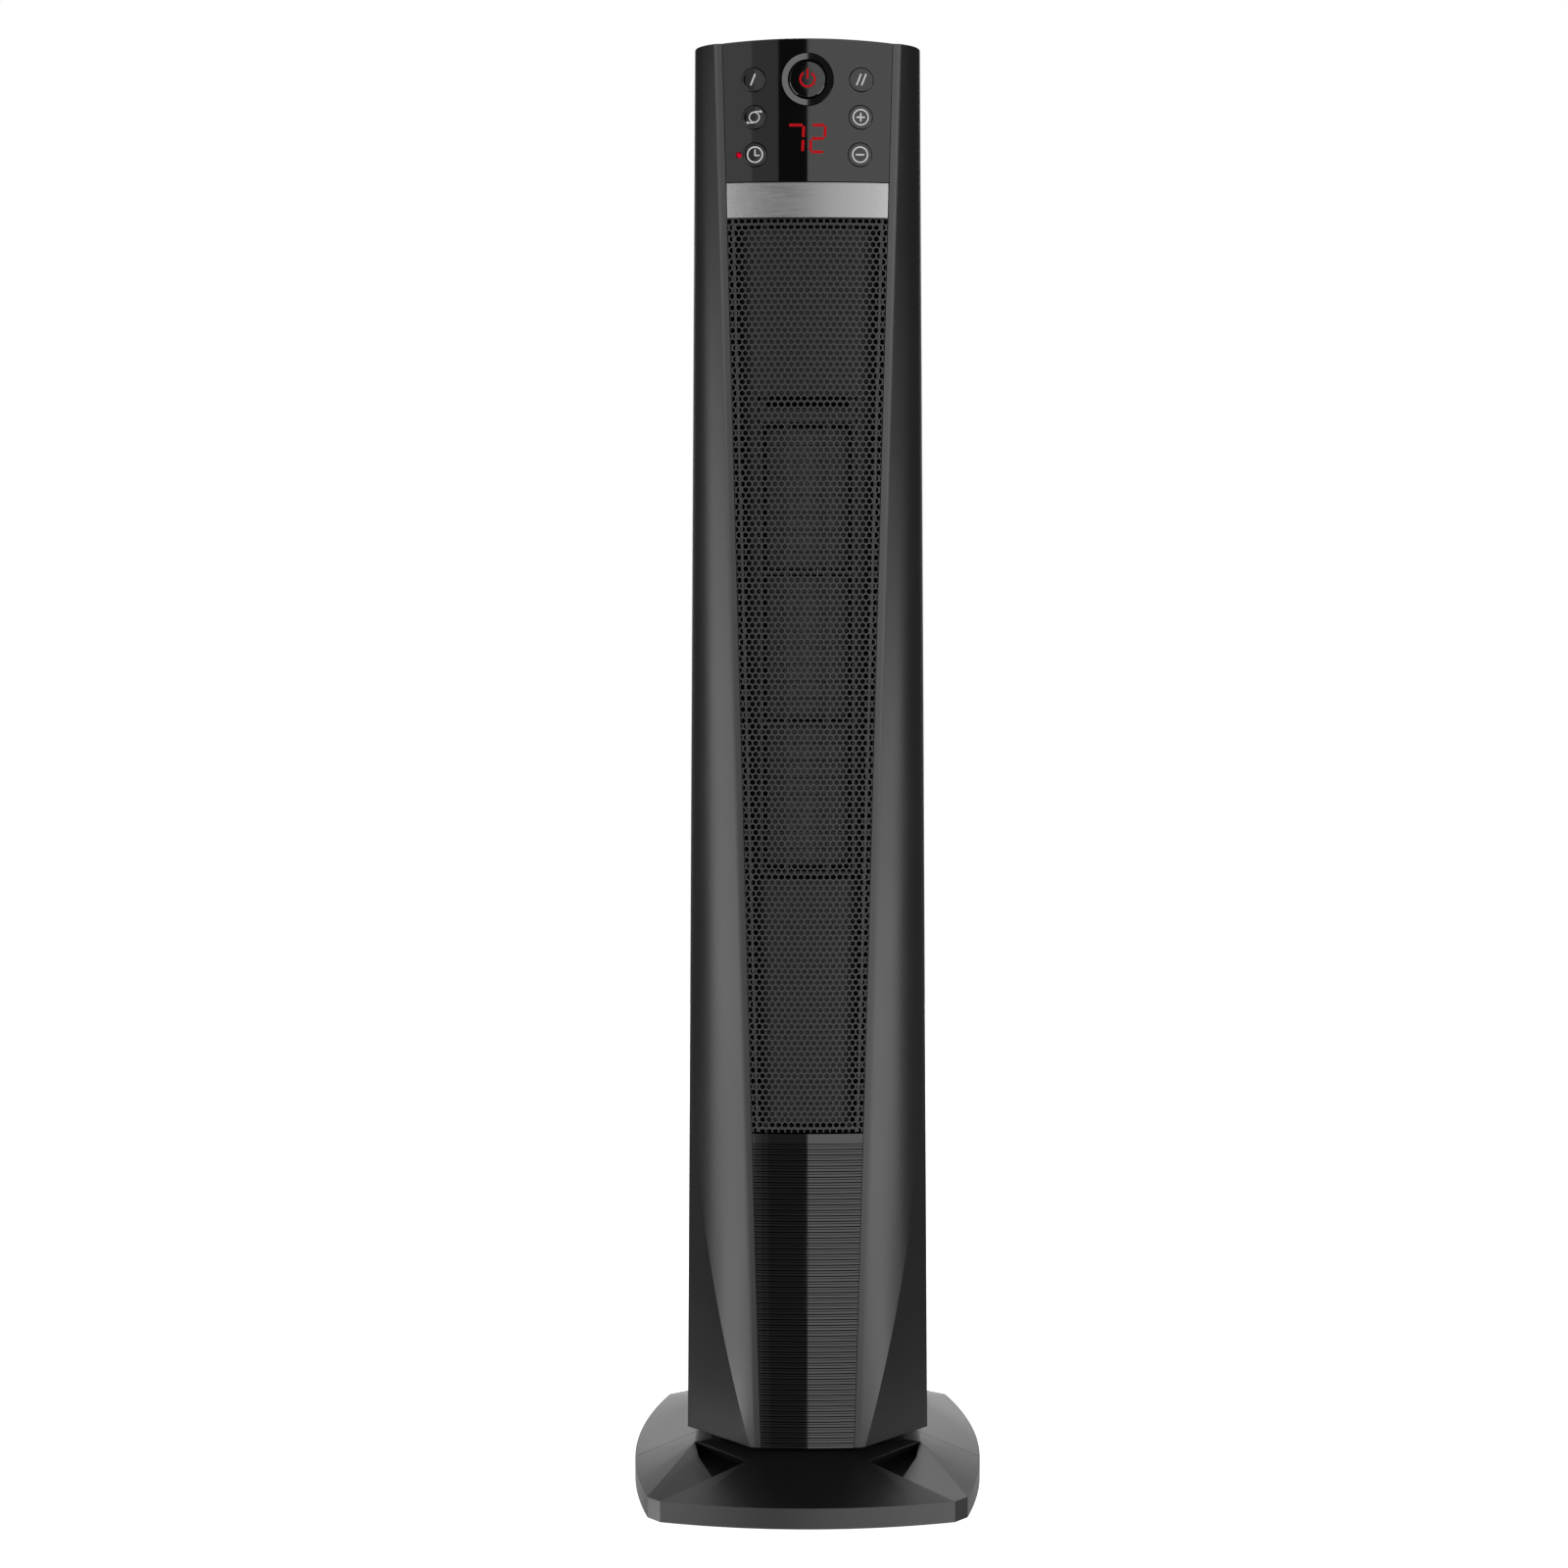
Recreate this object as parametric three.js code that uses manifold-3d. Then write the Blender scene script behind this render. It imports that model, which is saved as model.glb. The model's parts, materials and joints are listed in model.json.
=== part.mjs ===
// Tower heater: a slim column with a honeycomb front that swivels on a low faceted base.
// Millimetres, +Z up, front facing -Y. The origin is on the floor, on the swivel axis.

import * as THREE from 'three';
import { mergeGeometries, mergeVertices } from 'three/addons/utils/BufferGeometryUtils.js';
import { ConvexGeometry } from 'three/addons/geometries/ConvexGeometry.js';
import Module from 'manifold-3d';

const wasm = await Module();
wasm.setup();

// Walls and clearances
const wall = 2.5;
const seat = 0.3;
const seam = 0.5;
const runningGap = 1.2;
const overrun = 5;

// Base
const footHeight = 1.7;
const footRadius = 8;
const rimHeight = 11.7;
const plateauHeight = 28.5;
const baseHalfWidth = 100.5;
const frontReach = 117.7;
const frontBow = 11.8;
const frontSideBow = 11.8;
const frontChamferWidth = 7.4;
const frontChamferLength = 8.1;
const rearReach = 115;
const rearBow = 12;
const rearSideBow = 14.5;
const rearChamferWidth = 11;
const rearChamferLength = 6.5;
const seamPlaneY = 27.5;
const plateauEdgeX = 64.5;
const plateauEdgeY = 46.4;
const plateauNoseX = 34;
const plateauNoseY = 81.3;
const pocketLipX = 53;
const pocketLipY = 91.3;
const pocketShoulderX = 61.5;
const pocketShoulderY = 66.5;
const pocketDepth = 7.5;
const pocketUndercut = 6;
const collarRadius = 73.5;
const collarHalfWidth = 62;
const collarHeight = 2.8;
const bottomPlateThickness = 2.5;
const ballastThickness = 5;
const ballastHalfWidth = 48;
const ballastLength = 62;
const ballastSetback = 5;
const glandRadius = 2.9;
const glandLength = 9;
const footInset = 16;
const glandCollar = 2.4;

// Swivel
const neckRadius = 50;
const neckWall = 5;
const neckGap = 6.5;
const washerThickness = 2;
const swivelPlateThickness = 3.5;
const swivelPlateRadius = 57;
const postRadius = 6;
const hubWall = 5;
const hubHeight = 16;
const clipThickness = 2;
const clipWidth = 5;
const turntableThickness = 3;
const crankOffset = 26;
const crankThrow = 15;
const crankPinRadius = 2.5;
const crankThickness = 2.6;
const crankHubRadius = 6;
const crankShaftRadius = 3;
const crankShaftLength = 9;
const slotClearance = 1.2;
const gearMotorLength = 44;
const gearMotorWidth = 28;
const gearMotorHeight = 15;

// Column
const columnHeight = 773.5;
const columnFootHalfWidth = 68.8;
const columnHeadHalfWidth = 61.1;
const columnFront = 94;
const columnBack = 62;
const lean = 14;
const leanHeight = 296;
const panelCurveRadius = 270;
const panelFootHalfWidth = 26;
const panelHeadHalfWidth = 45.6;
const stripFootWidth = 3.8;
const stripHeadWidth = 4.2;
const cornerFootReach = 38.7;
const cornerHeadReach = 70;
const cheekFootBulge = 12;
const cheekHeadBulge = 6;
const facetHeight = 225;
const facetFootShare = 0.045;
const crownDrop = 2;
const panelThickness = 3;
const rearSquarenessShare = 0.77;
const partingShare = 0.35;

// Lengths of the front pieces; the grille takes what is left of the height
const controlLength = 75.8;
const bandLength = 19;
const ribbedLength = 181.2;
const ribbedBorder = 6.5;

// Front details
const ribCount = 56;
const ribDepth = 1.1;
const cellPitch = 24.7;
const cellWeb = 3.4;
const grilleMargin = 5.5;
const blankThickness = 2;
const outletHalfWidth = 26;
const outletDrop = 94.5;
const outletRise = 141.7;
const outletBorder = 3.4;
const outletBar = 2;
const outletThickness = 7.4;
const outletHeadBorder = 15;

// Controls
const powerRadius = 10.5;
const powerDrop = 21.6;
const ringWidth = 3.3;
const ringThickness = 5;
const smallRadius = 6.3;
const buttonX = 28.8;
const buttonPitch = 19.8;
const buttonProud = 0.6;
const capLength = 4;
const stemRadius = 2.6;
const buttonTravel = 1;
const lampRadius = 1.4;
const lampX = 36.9;
const displayWidth = 28;
const displayHeight = 20;
const displayDrop = 52.6;
const boardThickness = 1.6;
const boardHalfWidth = 36;
const boardLength = 62;
const boardHeadGap = 6;

// Inside
const chassisHalfWidth = 24;
const chassisFront = 81.7;
const chassisDepth = 42;
const chassisHeadGap = 12;
const elementGap = 4;
const elementDepth = 18;
const elementSetback = 3;
const finCount = 9;
const finThickness = 1.2;
const finHeight = 3;
const wheelRadius = 27;
const wheelAxisGap = 36;
const bladeCount = 15;
const bladeThickness = 1.2;
const bladeDepth = 8;
const wheelDisc = 2;
const wheelGap = 3;
const shaftRadius = 3;
const bearingRadius = 7;
const bearingHeight = 6;
const housingMargin = 3;
const motorRadius = 24;
const motorHeight = 44;
const bracketThickness = 3;
const cutoutRadius = 8;
const cutoutThickness = 6;
const tipSwitchWidth = 16;
const tipSwitchDepth = 20;
const tipSwitchHeight = 18;

// Rear
const slotRows = 14;
const slotPitch = 18;
const slotHeight = 7;
const slotWidth = 28;
const slotSpacing = 33;
const slotTopDrop = 170;
const handleDrop = 78;
const handleWidth = 84;
const handleHeight = 32;
const handleDepth = 24;
const capThickness = 3;
const capRecess = 1;

// Derived places of the base
const frontCornerX = baseHalfWidth - frontSideBow;
const frontChamferX = frontCornerX - frontChamferWidth;
const frontChamferY = frontReach - frontBow;
const frontCornerY = frontChamferY - frontChamferLength;
const rearCornerX = baseHalfWidth - rearSideBow;
const rearChamferX = rearCornerX - rearChamferWidth;
const rearChamferY = rearReach - rearBow;
const rearCornerY = rearChamferY - rearChamferLength;

// Derived levels
const floorClearance = footHeight + seat;
const rimTop = floorClearance + rimHeight;
const columnBottom = plateauHeight + neckGap;
const columnTop = columnBottom + columnHeight;
const controlBottom = columnTop - controlLength;
const bandBottom = controlBottom - bandLength;
const grilleBottom = columnBottom + ribbedLength;
const outletTop = bandBottom - outletDrop;
const outletBottom = grilleBottom + outletRise;
const plateauUnderside = plateauHeight - wall;
const swivelPlateTop = plateauUnderside - seat;
const turntableBottom = columnBottom + seam;
const turntableTop = turntableBottom + turntableThickness;
const chassisTop = columnTop - chassisHeadGap;
const chassisBack = chassisFront - chassisDepth;
const wheelY = wheelAxisGap - chassisBack;

// Small maths

function lerp(a, b, t) {
  return a + (b - a) * t;
}

function clampShare(t) {
  return Math.min(1, Math.max(0, t));
}

function heightShare(z) {
  return (z - columnBottom) / columnHeight;
}

// Solids

function toSolid(geometry) {
  const plain = geometry.index ? geometry.toNonIndexed() : geometry.clone();
  plain.deleteAttribute('normal');
  plain.deleteAttribute('uv');
  const merged = mergeVertices(plain);
  const mesh = new wasm.Mesh({
    numProp: 3,
    vertProperties: new Float32Array(merged.attributes.position.array),
    triVerts: new Uint32Array(merged.index.array),
  });
  return new wasm.Manifold(mesh);
}

function toGeometry(solid) {
  const mesh = solid.getMesh();
  const geometry = new THREE.BufferGeometry();
  geometry.setAttribute('position', new THREE.BufferAttribute(mesh.vertProperties, 3));
  geometry.setIndex(new THREE.BufferAttribute(mesh.triVerts, 1));
  return geometry;
}

function cut(geometry, ...tools) {
  return toGeometry(tools.reduce((solid, tool) => solid.subtract(toSolid(tool)), toSolid(geometry)));
}

function join(geometry, ...others) {
  return toGeometry(others.reduce((solid, other) => solid.add(toSolid(other)), toSolid(geometry)));
}

function common(a, b) {
  return toGeometry(toSolid(a).intersect(toSolid(b)));
}

// A box between two corners.
function block(low, high) {
  const size = high.map((value, i) => value - low[i]);
  const geometry = new THREE.BoxGeometry(...size);
  geometry.translate(...low.map((value, i) => value + size[i] / 2));
  return geometry;
}

// A closed ring or disc about the Z axis, from one level to another.
function ring(inner, outer, low, high, sides = 32) {
  const profile = [[inner, low], [outer, low], [outer, high], [inner, high]];
  if (inner > 0) {
    profile.push([inner, low]);
  }
  return new THREE.LatheGeometry(profile.map(([r, z]) => new THREE.Vector2(r, z)), sides).rotateX(Math.PI / 2);
}

function disc(radius, low, high, sides = 32) {
  return ring(0, radius, low, high, sides);
}

// A solid through level loops of equal count, listed from the lowest up, each counter-clockwise from above.
function loft(loops) {
  const count = loops[0].length;
  const positions = loops.flat().flatMap(([x, y, z]) => [x, y, z]);
  const faces = [];
  for (let row = 0; row + 1 < loops.length; row += 1) {
    for (let i = 0; i < count; i += 1) {
      const next = (i + 1) % count;
      const [a, b] = [row * count + i, row * count + next];
      const [c, d] = [b + count, a + count];
      faces.push([a, b, c], [a, c, d]);
    }
  }
  const flat = loops[0].map(([x, y]) => new THREE.Vector2(x, y));
  const top = (loops.length - 1) * count;
  for (const [a, b, c] of THREE.ShapeUtils.triangulateShape(flat, [])) {
    faces.push([a, c, b], [top + a, top + b, top + c]);
  }
  const geometry = new THREE.BufferGeometry();
  geometry.setAttribute('position', new THREE.Float32BufferAttribute(positions, 3));
  geometry.setIndex(faces.flat());
  return geometry;
}

// An upright prism over a counter-clockwise outline.
function prism(outline, low, high) {
  return loft([low, high].map((z) => outline.map(([x, y]) => [x, y, z])));
}

function hull(points) {
  return new ConvexGeometry(points.map((p) => new THREE.Vector3(...p)));
}

// Moves a closed counter-clockwise plan line inwards.
function offsetLine(points, distance) {
  return points.map((point, i) => {
    const before = points[(i + points.length - 1) % points.length];
    const after = points[(i + 1) % points.length];
    const along = new THREE.Vector2(after[0] - before[0], after[1] - before[1]).normalize();
    return [point[0] - along.y * distance, point[1] + along.x * distance];
  });
}

// Base outline

function bowed(from, to, bow, steps) {
  const points = [];
  for (let i = 0; i < steps; i += 1) {
    const t = i / steps;
    const swell = 4 * t * (1 - t);
    points.push([lerp(from[0], to[0], t) + bow[0] * swell, lerp(from[1], to[1], t) + bow[1] * swell]);
  }
  return points;
}

function rimOutline() {
  const steps = 8;
  const sideBow = baseHalfWidth - (frontCornerX + rearCornerX) / 2;
  return [
    ...bowed([-frontChamferX, -frontChamferY], [frontChamferX, -frontChamferY], [0, frontChamferY - frontReach], steps),
    [frontChamferX, -frontChamferY],
    ...bowed([frontCornerX, -frontCornerY], [rearCornerX, rearCornerY], [sideBow, 0], steps),
    [rearCornerX, rearCornerY],
    ...bowed([rearChamferX, rearChamferY], [-rearChamferX, rearChamferY], [0, rearReach - rearChamferY], steps),
    [-rearChamferX, rearChamferY],
    ...bowed([-rearCornerX, rearCornerY], [-frontCornerX, -frontCornerY], [-sideBow, 0], steps),
    [-frontCornerX, -frontCornerY],
  ];
}

function plateauOutline() {
  return [
    [-plateauNoseX, -plateauNoseY],
    [plateauNoseX, -plateauNoseY],
    [plateauEdgeX, -plateauEdgeY],
    [plateauEdgeX, plateauEdgeY],
    [plateauNoseX, plateauNoseY],
    [-plateauNoseX, plateauNoseY],
    [-plateauEdgeX, plateauEdgeY],
    [-plateauEdgeX, -plateauEdgeY],
  ];
}

function atLevel(outline, z) {
  return outline.map(([x, y]) => [x, y, z]);
}

// The front and rear arcs of the low collar that rises from the plateau round the neck.
function collarArcs() {
  const z = plateauHeight + collarHeight;
  const steps = 8;
  const spread = Math.asin(collarHalfWidth / collarRadius);
  const points = [];
  for (let i = 0; i <= steps; i += 1) {
    const angle = lerp(-spread, spread, i / steps);
    const [x, y] = [collarRadius * Math.sin(angle), collarRadius * Math.cos(angle)];
    points.push([x, y, z], [x, -y, z]);
  }
  return points;
}

// The dark recess under each front diagonal edge of the plateau, grown by a margin. It runs on under the edge.
function pocket(side, margin) {
  const slope = (plateauHeight - rimTop) / (frontCornerX - plateauNoseX);
  const lipZ = rimTop + (frontCornerX - pocketLipX) * slope;
  const floor = plateauHeight - pocketDepth - margin;
  const high = plateauHeight + overrun;
  const corners = [
    [plateauEdgeX, plateauEdgeY, floor],
    [plateauNoseX, plateauNoseY, floor],
    [pocketLipX, pocketLipY, Math.min(lipZ, floor + margin + wall / 2) - margin],
    [pocketShoulderX, pocketShoulderY, floor + wall / 2],
  ];
  const centreX = (plateauEdgeX + plateauNoseX + pocketLipX + pocketShoulderX) / 4;
  const centreY = (plateauEdgeY + plateauNoseY + pocketLipY + pocketShoulderY) / 4;
  const reach = Math.hypot(pocketLipX - centreX, pocketLipY - centreY);
  const grow = 1 + (margin * 2) / reach;
  const points = corners.map(([x, y, z]) => [centreX + (x - centreX) * grow, centreY + (y - centreY) * grow, z]);
  const lifted = points.map(([x, y]) => [x, y, high]);
  const edge = points.slice(0, 2);
  const turn = Math.atan2(plateauNoseY - plateauEdgeY, plateauEdgeX - plateauNoseX);
  const [inX, inY] = [-pocketUndercut * Math.sin(turn), -pocketUndercut * Math.cos(turn)];
  const under = [
    ...edge,
    ...edge.map(([x, y]) => [x, y, plateauHeight]),
    ...edge.map(([x, y, z]) => [x + inX, y + inY, z]),
  ];
  const placed = (list) => hull(list.map(([x, y, z]) => [side * x, -y, z]));
  return join(placed([...points, ...lifted]), placed(under));
}

function baseShell() {
  const rim = rimOutline();
  const outer = hull([
    ...atLevel(rim, floorClearance),
    ...atLevel(rim, rimTop),
    ...atLevel(plateauOutline(), plateauHeight),
    ...collarArcs(),
  ]);
  const innerRim = offsetLine(rim, wall);
  const inner = hull([
    ...atLevel(innerRim, -overrun),
    ...atLevel(innerRim, rimTop - wall),
    ...atLevel(offsetLine(plateauOutline(), wall), plateauUnderside),
  ]);
  const hollow = cut(inner, pocket(1, wall), pocket(-1, wall));
  return cut(outer, pocket(1, 0), pocket(-1, 0), hollow, disc(neckRadius + runningGap, 0, columnBottom));
}

function baseHalf(side) {
  const edge = -seamPlaneY + side * seat / 2;
  const far = side * (frontReach + rearReach);
  const reach = frontReach + rearReach;
  const keep = block(
    [-reach, Math.min(edge, far), -overrun],
    [reach, Math.max(edge, far), columnBottom + overrun],
  );
  return common(baseShell(), keep);
}

function baseFront() {
  return baseHalf(-1);
}

function glandBore() {
  return disc(glandRadius + seat, 0, glandLength * 2, 12)
    .rotateX(-Math.PI / 2)
    .translate(0, rearReach - glandLength, floorClearance + rimHeight / 2);
}

function baseRear() {
  return cut(baseHalf(1), glandBore());
}

// A bush in the rear rim that the mains lead would pass through, with its collar outside.
function cordGland() {
  const collar = glandLength + seat;
  const bush = join(
    ring(glandRadius / 2, glandRadius, 0, collar + glandCollar, 12),
    ring(glandRadius / 2, glandRadius + glandCollar, collar, collar + glandCollar, 12),
  );
  return bush.rotateX(-Math.PI / 2)
    .translate(0, rearReach - glandLength, floorClearance + rimHeight / 2);
}

function bottomPlate() {
  const outline = offsetLine(rimOutline(), wall + seat);
  return prism(outline, floorClearance, floorClearance + bottomPlateThickness);
}

function ballast() {
  const low = floorClearance + bottomPlateThickness + seat;
  return block(
    [-ballastHalfWidth, ballastSetback, low],
    [ballastHalfWidth, ballastSetback + ballastLength, low + ballastThickness],
  );
}

function foot(x, y) {
  return disc(footRadius, 0, footHeight, 16).translate(x, y, 0);
}

// Swivel pieces

function swivelPlate() {
  const low = swivelPlateTop - swivelPlateThickness;
  const plate = disc(swivelPlateRadius, low, swivelPlateTop);
  const post = disc(postRadius, low, turntableBottom + hubHeight + clipThickness + seat * 2, 16);
  const slotHalf = crankPinRadius + slotClearance;
  const slotStart = postRadius + wall;
  const slotEnd = crankOffset + crankThrow + slotHalf;
  const slot = block([-slotHalf, slotStart, low - overrun], [slotHalf, slotEnd, swivelPlateTop + overrun]);
  return join(cut(plate, slot), post);
}

function thrustWasher() {
  const low = swivelPlateTop + seat;
  return ring(neckRadius - neckWall, neckRadius, low, low + washerThickness);
}

function turntable() {
  const outline = innerSection(turntableBottom, wall + seat * 2);
  const hubRadius = postRadius + seat + hubWall;
  const low = swivelPlateTop + seat * 2 + washerThickness;
  const plate = join(
    prism(outline, turntableBottom, turntableTop),
    ring(neckRadius - neckWall, neckRadius, low, turntableTop - seat),
    disc(hubRadius, low, turntableBottom + hubHeight, 16),
  );
  const shaftHole = disc(crankShaftRadius + seat, low - overrun, turntableTop + overrun, 12).translate(0, crankOffset, 0);
  return cut(plate, disc(postRadius + seat, 0, columnTop, 16), shaftHole);
}

function retainingClip() {
  const low = turntableBottom + hubHeight + seat;
  return ring(postRadius + seat, postRadius + clipWidth, low, low + clipThickness, 16);
}

function swivelCrank() {
  const low = swivelPlateTop + seat * 2 + washerThickness;
  const pinLow = swivelPlateTop - swivelPlateThickness - seat;
  const arm = block(
    [-crankHubRadius * 2 / 3, 0, low],
    [crankHubRadius * 2 / 3, crankThrow, low + crankThickness],
  );
  return join(
    disc(crankHubRadius, low, low + crankThickness, 16),
    arm,
    disc(crankShaftRadius, low, turntableTop + crankShaftLength, 12),
    disc(crankPinRadius, pinLow, low + crankThickness, 12).translate(0, crankThrow, 0),
  ).translate(0, crankOffset, 0);
}

function gearMotor() {
  const low = turntableTop + seat;
  const nose = disc(gearMotorWidth / 2, low, low + gearMotorHeight, 24);
  const body = block(
    [-gearMotorWidth / 2, 0, low],
    [gearMotorWidth / 2, gearMotorLength - gearMotorWidth, low + gearMotorHeight],
  );
  const tail = disc(gearMotorWidth / 2, low, low + gearMotorHeight, 24)
    .translate(0, gearMotorLength - gearMotorWidth, 0);
  const bore = disc(crankShaftRadius + seat, low - overrun, turntableTop + crankShaftLength + seat * 2, 12);
  return cut(join(nose, body, tail), bore).translate(0, crankOffset, 0);
}

// Column section

function panelHalfWidth(z) {
  return lerp(panelFootHalfWidth, panelHeadHalfWidth, heightShare(z));
}

function frontY(z) {
  const rise = clampShare((z - columnBottom) / leanHeight);
  return -columnFront + lean * (1 - rise) * (1 - rise);
}

function frontAt(x, z) {
  return frontY(z) + (x * x) / (2 * panelCurveRadius);
}

function crownAt(x) {
  const share = clampShare(Math.abs(x) / panelHeadHalfWidth);
  return columnTop - crownDrop * share * share;
}

function cheekPoint(start, end, bulge, u) {
  const chord = new THREE.Vector2(end[0] - start[0], end[1] - start[1]);
  const outward = new THREE.Vector2(chord.y, -chord.x).normalize().multiplyScalar(bulge);
  const middle = [(start[0] + end[0]) / 2 + outward.x, (start[1] + end[1]) / 2 + outward.y];
  const [a, b, c] = [(1 - u) * (1 - u), 2 * u * (1 - u), u * u];
  return [a * start[0] + b * middle[0] + c * end[0], a * start[1] + b * middle[1] + c * end[1]];
}

// The right-hand side of the column in plan at one level, from the panel seam to the side corner, moved inwards.
function cheekLine(z, inset = 0) {
  const stripMitreShare = 0.45;
  const cornerMitreShare = 0.3;
  const creaseHighShare = 0.96;
  const share = heightShare(z);
  const panelX = panelHalfWidth(z);
  const stripX = panelX + lerp(stripFootWidth, stripHeadWidth, share);
  const strip = [stripX - inset * stripMitreShare, frontAt(stripX, z) + inset];
  const corner = [
    lerp(columnFootHalfWidth, columnHeadHalfWidth, share) - inset,
    -lerp(cornerFootReach, cornerHeadReach, share) + inset * cornerMitreShare,
  ];
  const bulge = lerp(cheekFootBulge, cheekHeadBulge, share);
  const crease = Math.min(creaseHighShare, facetFootShare + (z - columnBottom) / facetHeight);
  const points = [[panelX + seam, frontAt(panelX + seam, z) + inset]];
  const cheekSteps = 4;
  for (let i = 0; i < cheekSteps; i += 1) {
    points.push(cheekPoint(strip, corner, bulge, (crease * i) / cheekSteps));
  }
  const creasePoint = cheekPoint(strip, corner, bulge, crease);
  points.push(creasePoint, corner);
  return points;
}

function rearPoint(z, share, inset) {
  const angle = (share * Math.PI) / 2;
  const halfWidth = lerp(columnFootHalfWidth, columnHeadHalfWidth, heightShare(z));
  return [
    (halfWidth - inset) * Math.abs(Math.cos(angle)) ** rearSquarenessShare,
    (columnBack - inset) * Math.sin(angle) ** rearSquarenessShare,
  ];
}

function rearArc(z, from, to, steps, inset = 0) {
  const points = [];
  for (let i = 0; i <= steps; i += 1) {
    points.push(rearPoint(z, lerp(from, to, i / steps), inset));
  }
  return points;
}

function mirrored(points) {
  return points.map(([x, y]) => [-x, y]).reverse();
}

// The column's whole outline at one level, counter-clockwise, moved inwards.
function innerSection(z, inset) {
  const half = [...cheekLine(z, inset).slice(1), ...rearArc(z, 0, 1, 8, inset)];
  return [...half, ...mirrored(half.slice(0, -1))];
}

// Column shells

// Heights of the wall's rows, as shares of the column's height: close together over the facet.
function rowShares() {
  const facetShare = facetHeight / columnHeight;
  const facetRows = 5;
  const upperRows = 5;
  const shares = [];
  for (let i = 0; i < facetRows; i += 1) {
    shares.push((facetShare * i) / facetRows);
  }
  for (let i = 0; i <= upperRows; i += 1) {
    shares.push(lerp(facetShare, 1, i / upperRows));
  }
  return shares;
}

function wallLoop(outside, inside, share) {
  return [...outside, ...inside.reverse()].map(([x, y]) => [x, y, lerp(columnBottom, crownAt(x), share)]);
}

function sideShell(side) {
  const loops = rowShares().map((share) => {
    const z = columnBottom + columnHeight * share;
    const line = (inset) => [...cheekLine(z, inset), ...rearArc(z, 0, partingShare, 4, inset)];
    const loop = wallLoop(line(0), line(wall), share);
    return side > 0 ? loop : loop.map(([x, y, height]) => [-x, y, height]).reverse();
  });
  return loft(loops);
}

function rearWall() {
  const gapShare = seam / columnBack;
  const line = (z, inset) => {
    const right = rearArc(z, partingShare + gapShare, 1, 7, inset);
    return [...right, ...mirrored(right.slice(0, -1))];
  };
  return loft([0, 1].map((share) => {
    const z = columnBottom + columnHeight * share;
    return wallLoop(line(z, 0), line(z, wall), share);
  }));
}

function intakeSlots() {
  const slots = [];
  for (let row = 0; row < slotRows; row += 1) {
    const top = columnTop - slotTopDrop - row * slotPitch;
    for (const side of [-1, 1]) {
      const x = (side * slotSpacing) / 2;
      slots.push(block(
        [x - slotWidth / 2, columnBack / 2, top - slotHeight],
        [x + slotWidth / 2, columnBack + overrun, top],
      ));
    }
  }
  return slots;
}

function rearCover() {
  const top = columnTop - handleDrop;
  const low = [-handleWidth / 2, columnBack - handleDepth, top - handleHeight];
  const high = [handleWidth / 2, columnBack - wall, top];
  const cup = block(low.map((value) => value - wall), [high[0] + wall, high[1], high[2] + wall]);
  const grip = block(low, [high[0], columnBack + overrun, high[2]]);
  return cut(join(rearWall(), common(cup, columnCore())), grip, ...intakeSlots());
}

// The space inside the column's walls, a little larger than their inner face.
function columnCore() {
  const levels = [columnBottom, columnTop];
  return loft(levels.map((z) => innerSection(z, wall / 2).map(([x, y]) => [x, y, z])));
}

// The plan of the top cap: inside the shells, and behind the curved back of the front panel.
function capOutline() {
  const steps = 6;
  const front = [];
  for (let i = 1; i < steps; i += 1) {
    front.push([lerp(-panelHeadHalfWidth, panelHeadHalfWidth, i / steps), -columnFront]);
  }
  const outline = [...innerSection(columnTop, wall + seat), ...front];
  return outline.map(([x, y]) => [x, Math.max(y, frontAt(x, columnTop) + panelThickness + seam)]);
}

function topCap() {
  const steps = 8;
  const half = columnFootHalfWidth;
  const arch = (drop) => {
    const line = [];
    for (let i = 0; i <= steps; i += 1) {
      const x = lerp(-half, half, i / steps);
      line.push([x, crownAt(x) - drop]);
    }
    return line;
  };
  const band = [...arch(capRecess + capThickness), ...arch(capRecess).reverse()];
  const slab = new THREE.ExtrudeGeometry(
    new THREE.Shape(band.map(([x, z]) => new THREE.Vector2(x, z))),
    { depth: columnFront + columnBack, bevelEnabled: false },
  );
  slab.rotateX(Math.PI / 2);
  slab.translate(0, columnBack, 0);
  return common(slab, prism(capOutline(), columnBottom, columnTop + overrun));
}

function panelBackAt(z) {
  return frontY(z) + panelThickness + (panelHeadHalfWidth * panelHeadHalfWidth) / (2 * panelCurveRadius);
}

// Front panel pieces

// A curved slab across the front, from rows of [level, inset from the front face].
function frontSlab(rows, levelAt, steps = 6) {
  const loops = rows.map(([z, inset]) => {
    const half = panelHalfWidth(z);
    const front = [];
    const back = [];
    for (let i = 0; i <= steps; i += 1) {
      const x = lerp(-half, half, i / steps);
      front.push([x, frontAt(x, z) + inset, levelAt(x, z)]);
      back.push([x, frontAt(x, z) + panelThickness, levelAt(x, z)]);
    }
    return [...front, ...back.reverse()];
  });
  return loft(loops);
}

function controlPanel() {
  const low = controlBottom + seat;
  const level = (x, z) => lerp(low, crownAt(x), (z - low) / (columnTop - low));
  const slab = frontSlab([[low, 0], [lerp(low, columnTop, 1 / 2), 0], [columnTop, 0]], level);
  const holes = smallButtons().map((place) => faceHole(place.x, place.z, smallRadius + seam));
  const lamp = faceHole(-lampX, buttonLevel(2), lampRadius + seat);
  return cut(slab, faceHole(0, powerLevel(), powerRadius + ringWidth + seam), lamp, ...holes);
}

function silverBand() {
  return frontSlab([[bandBottom + seat, 0], [controlBottom, 0]], (x, z) => z);
}

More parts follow.
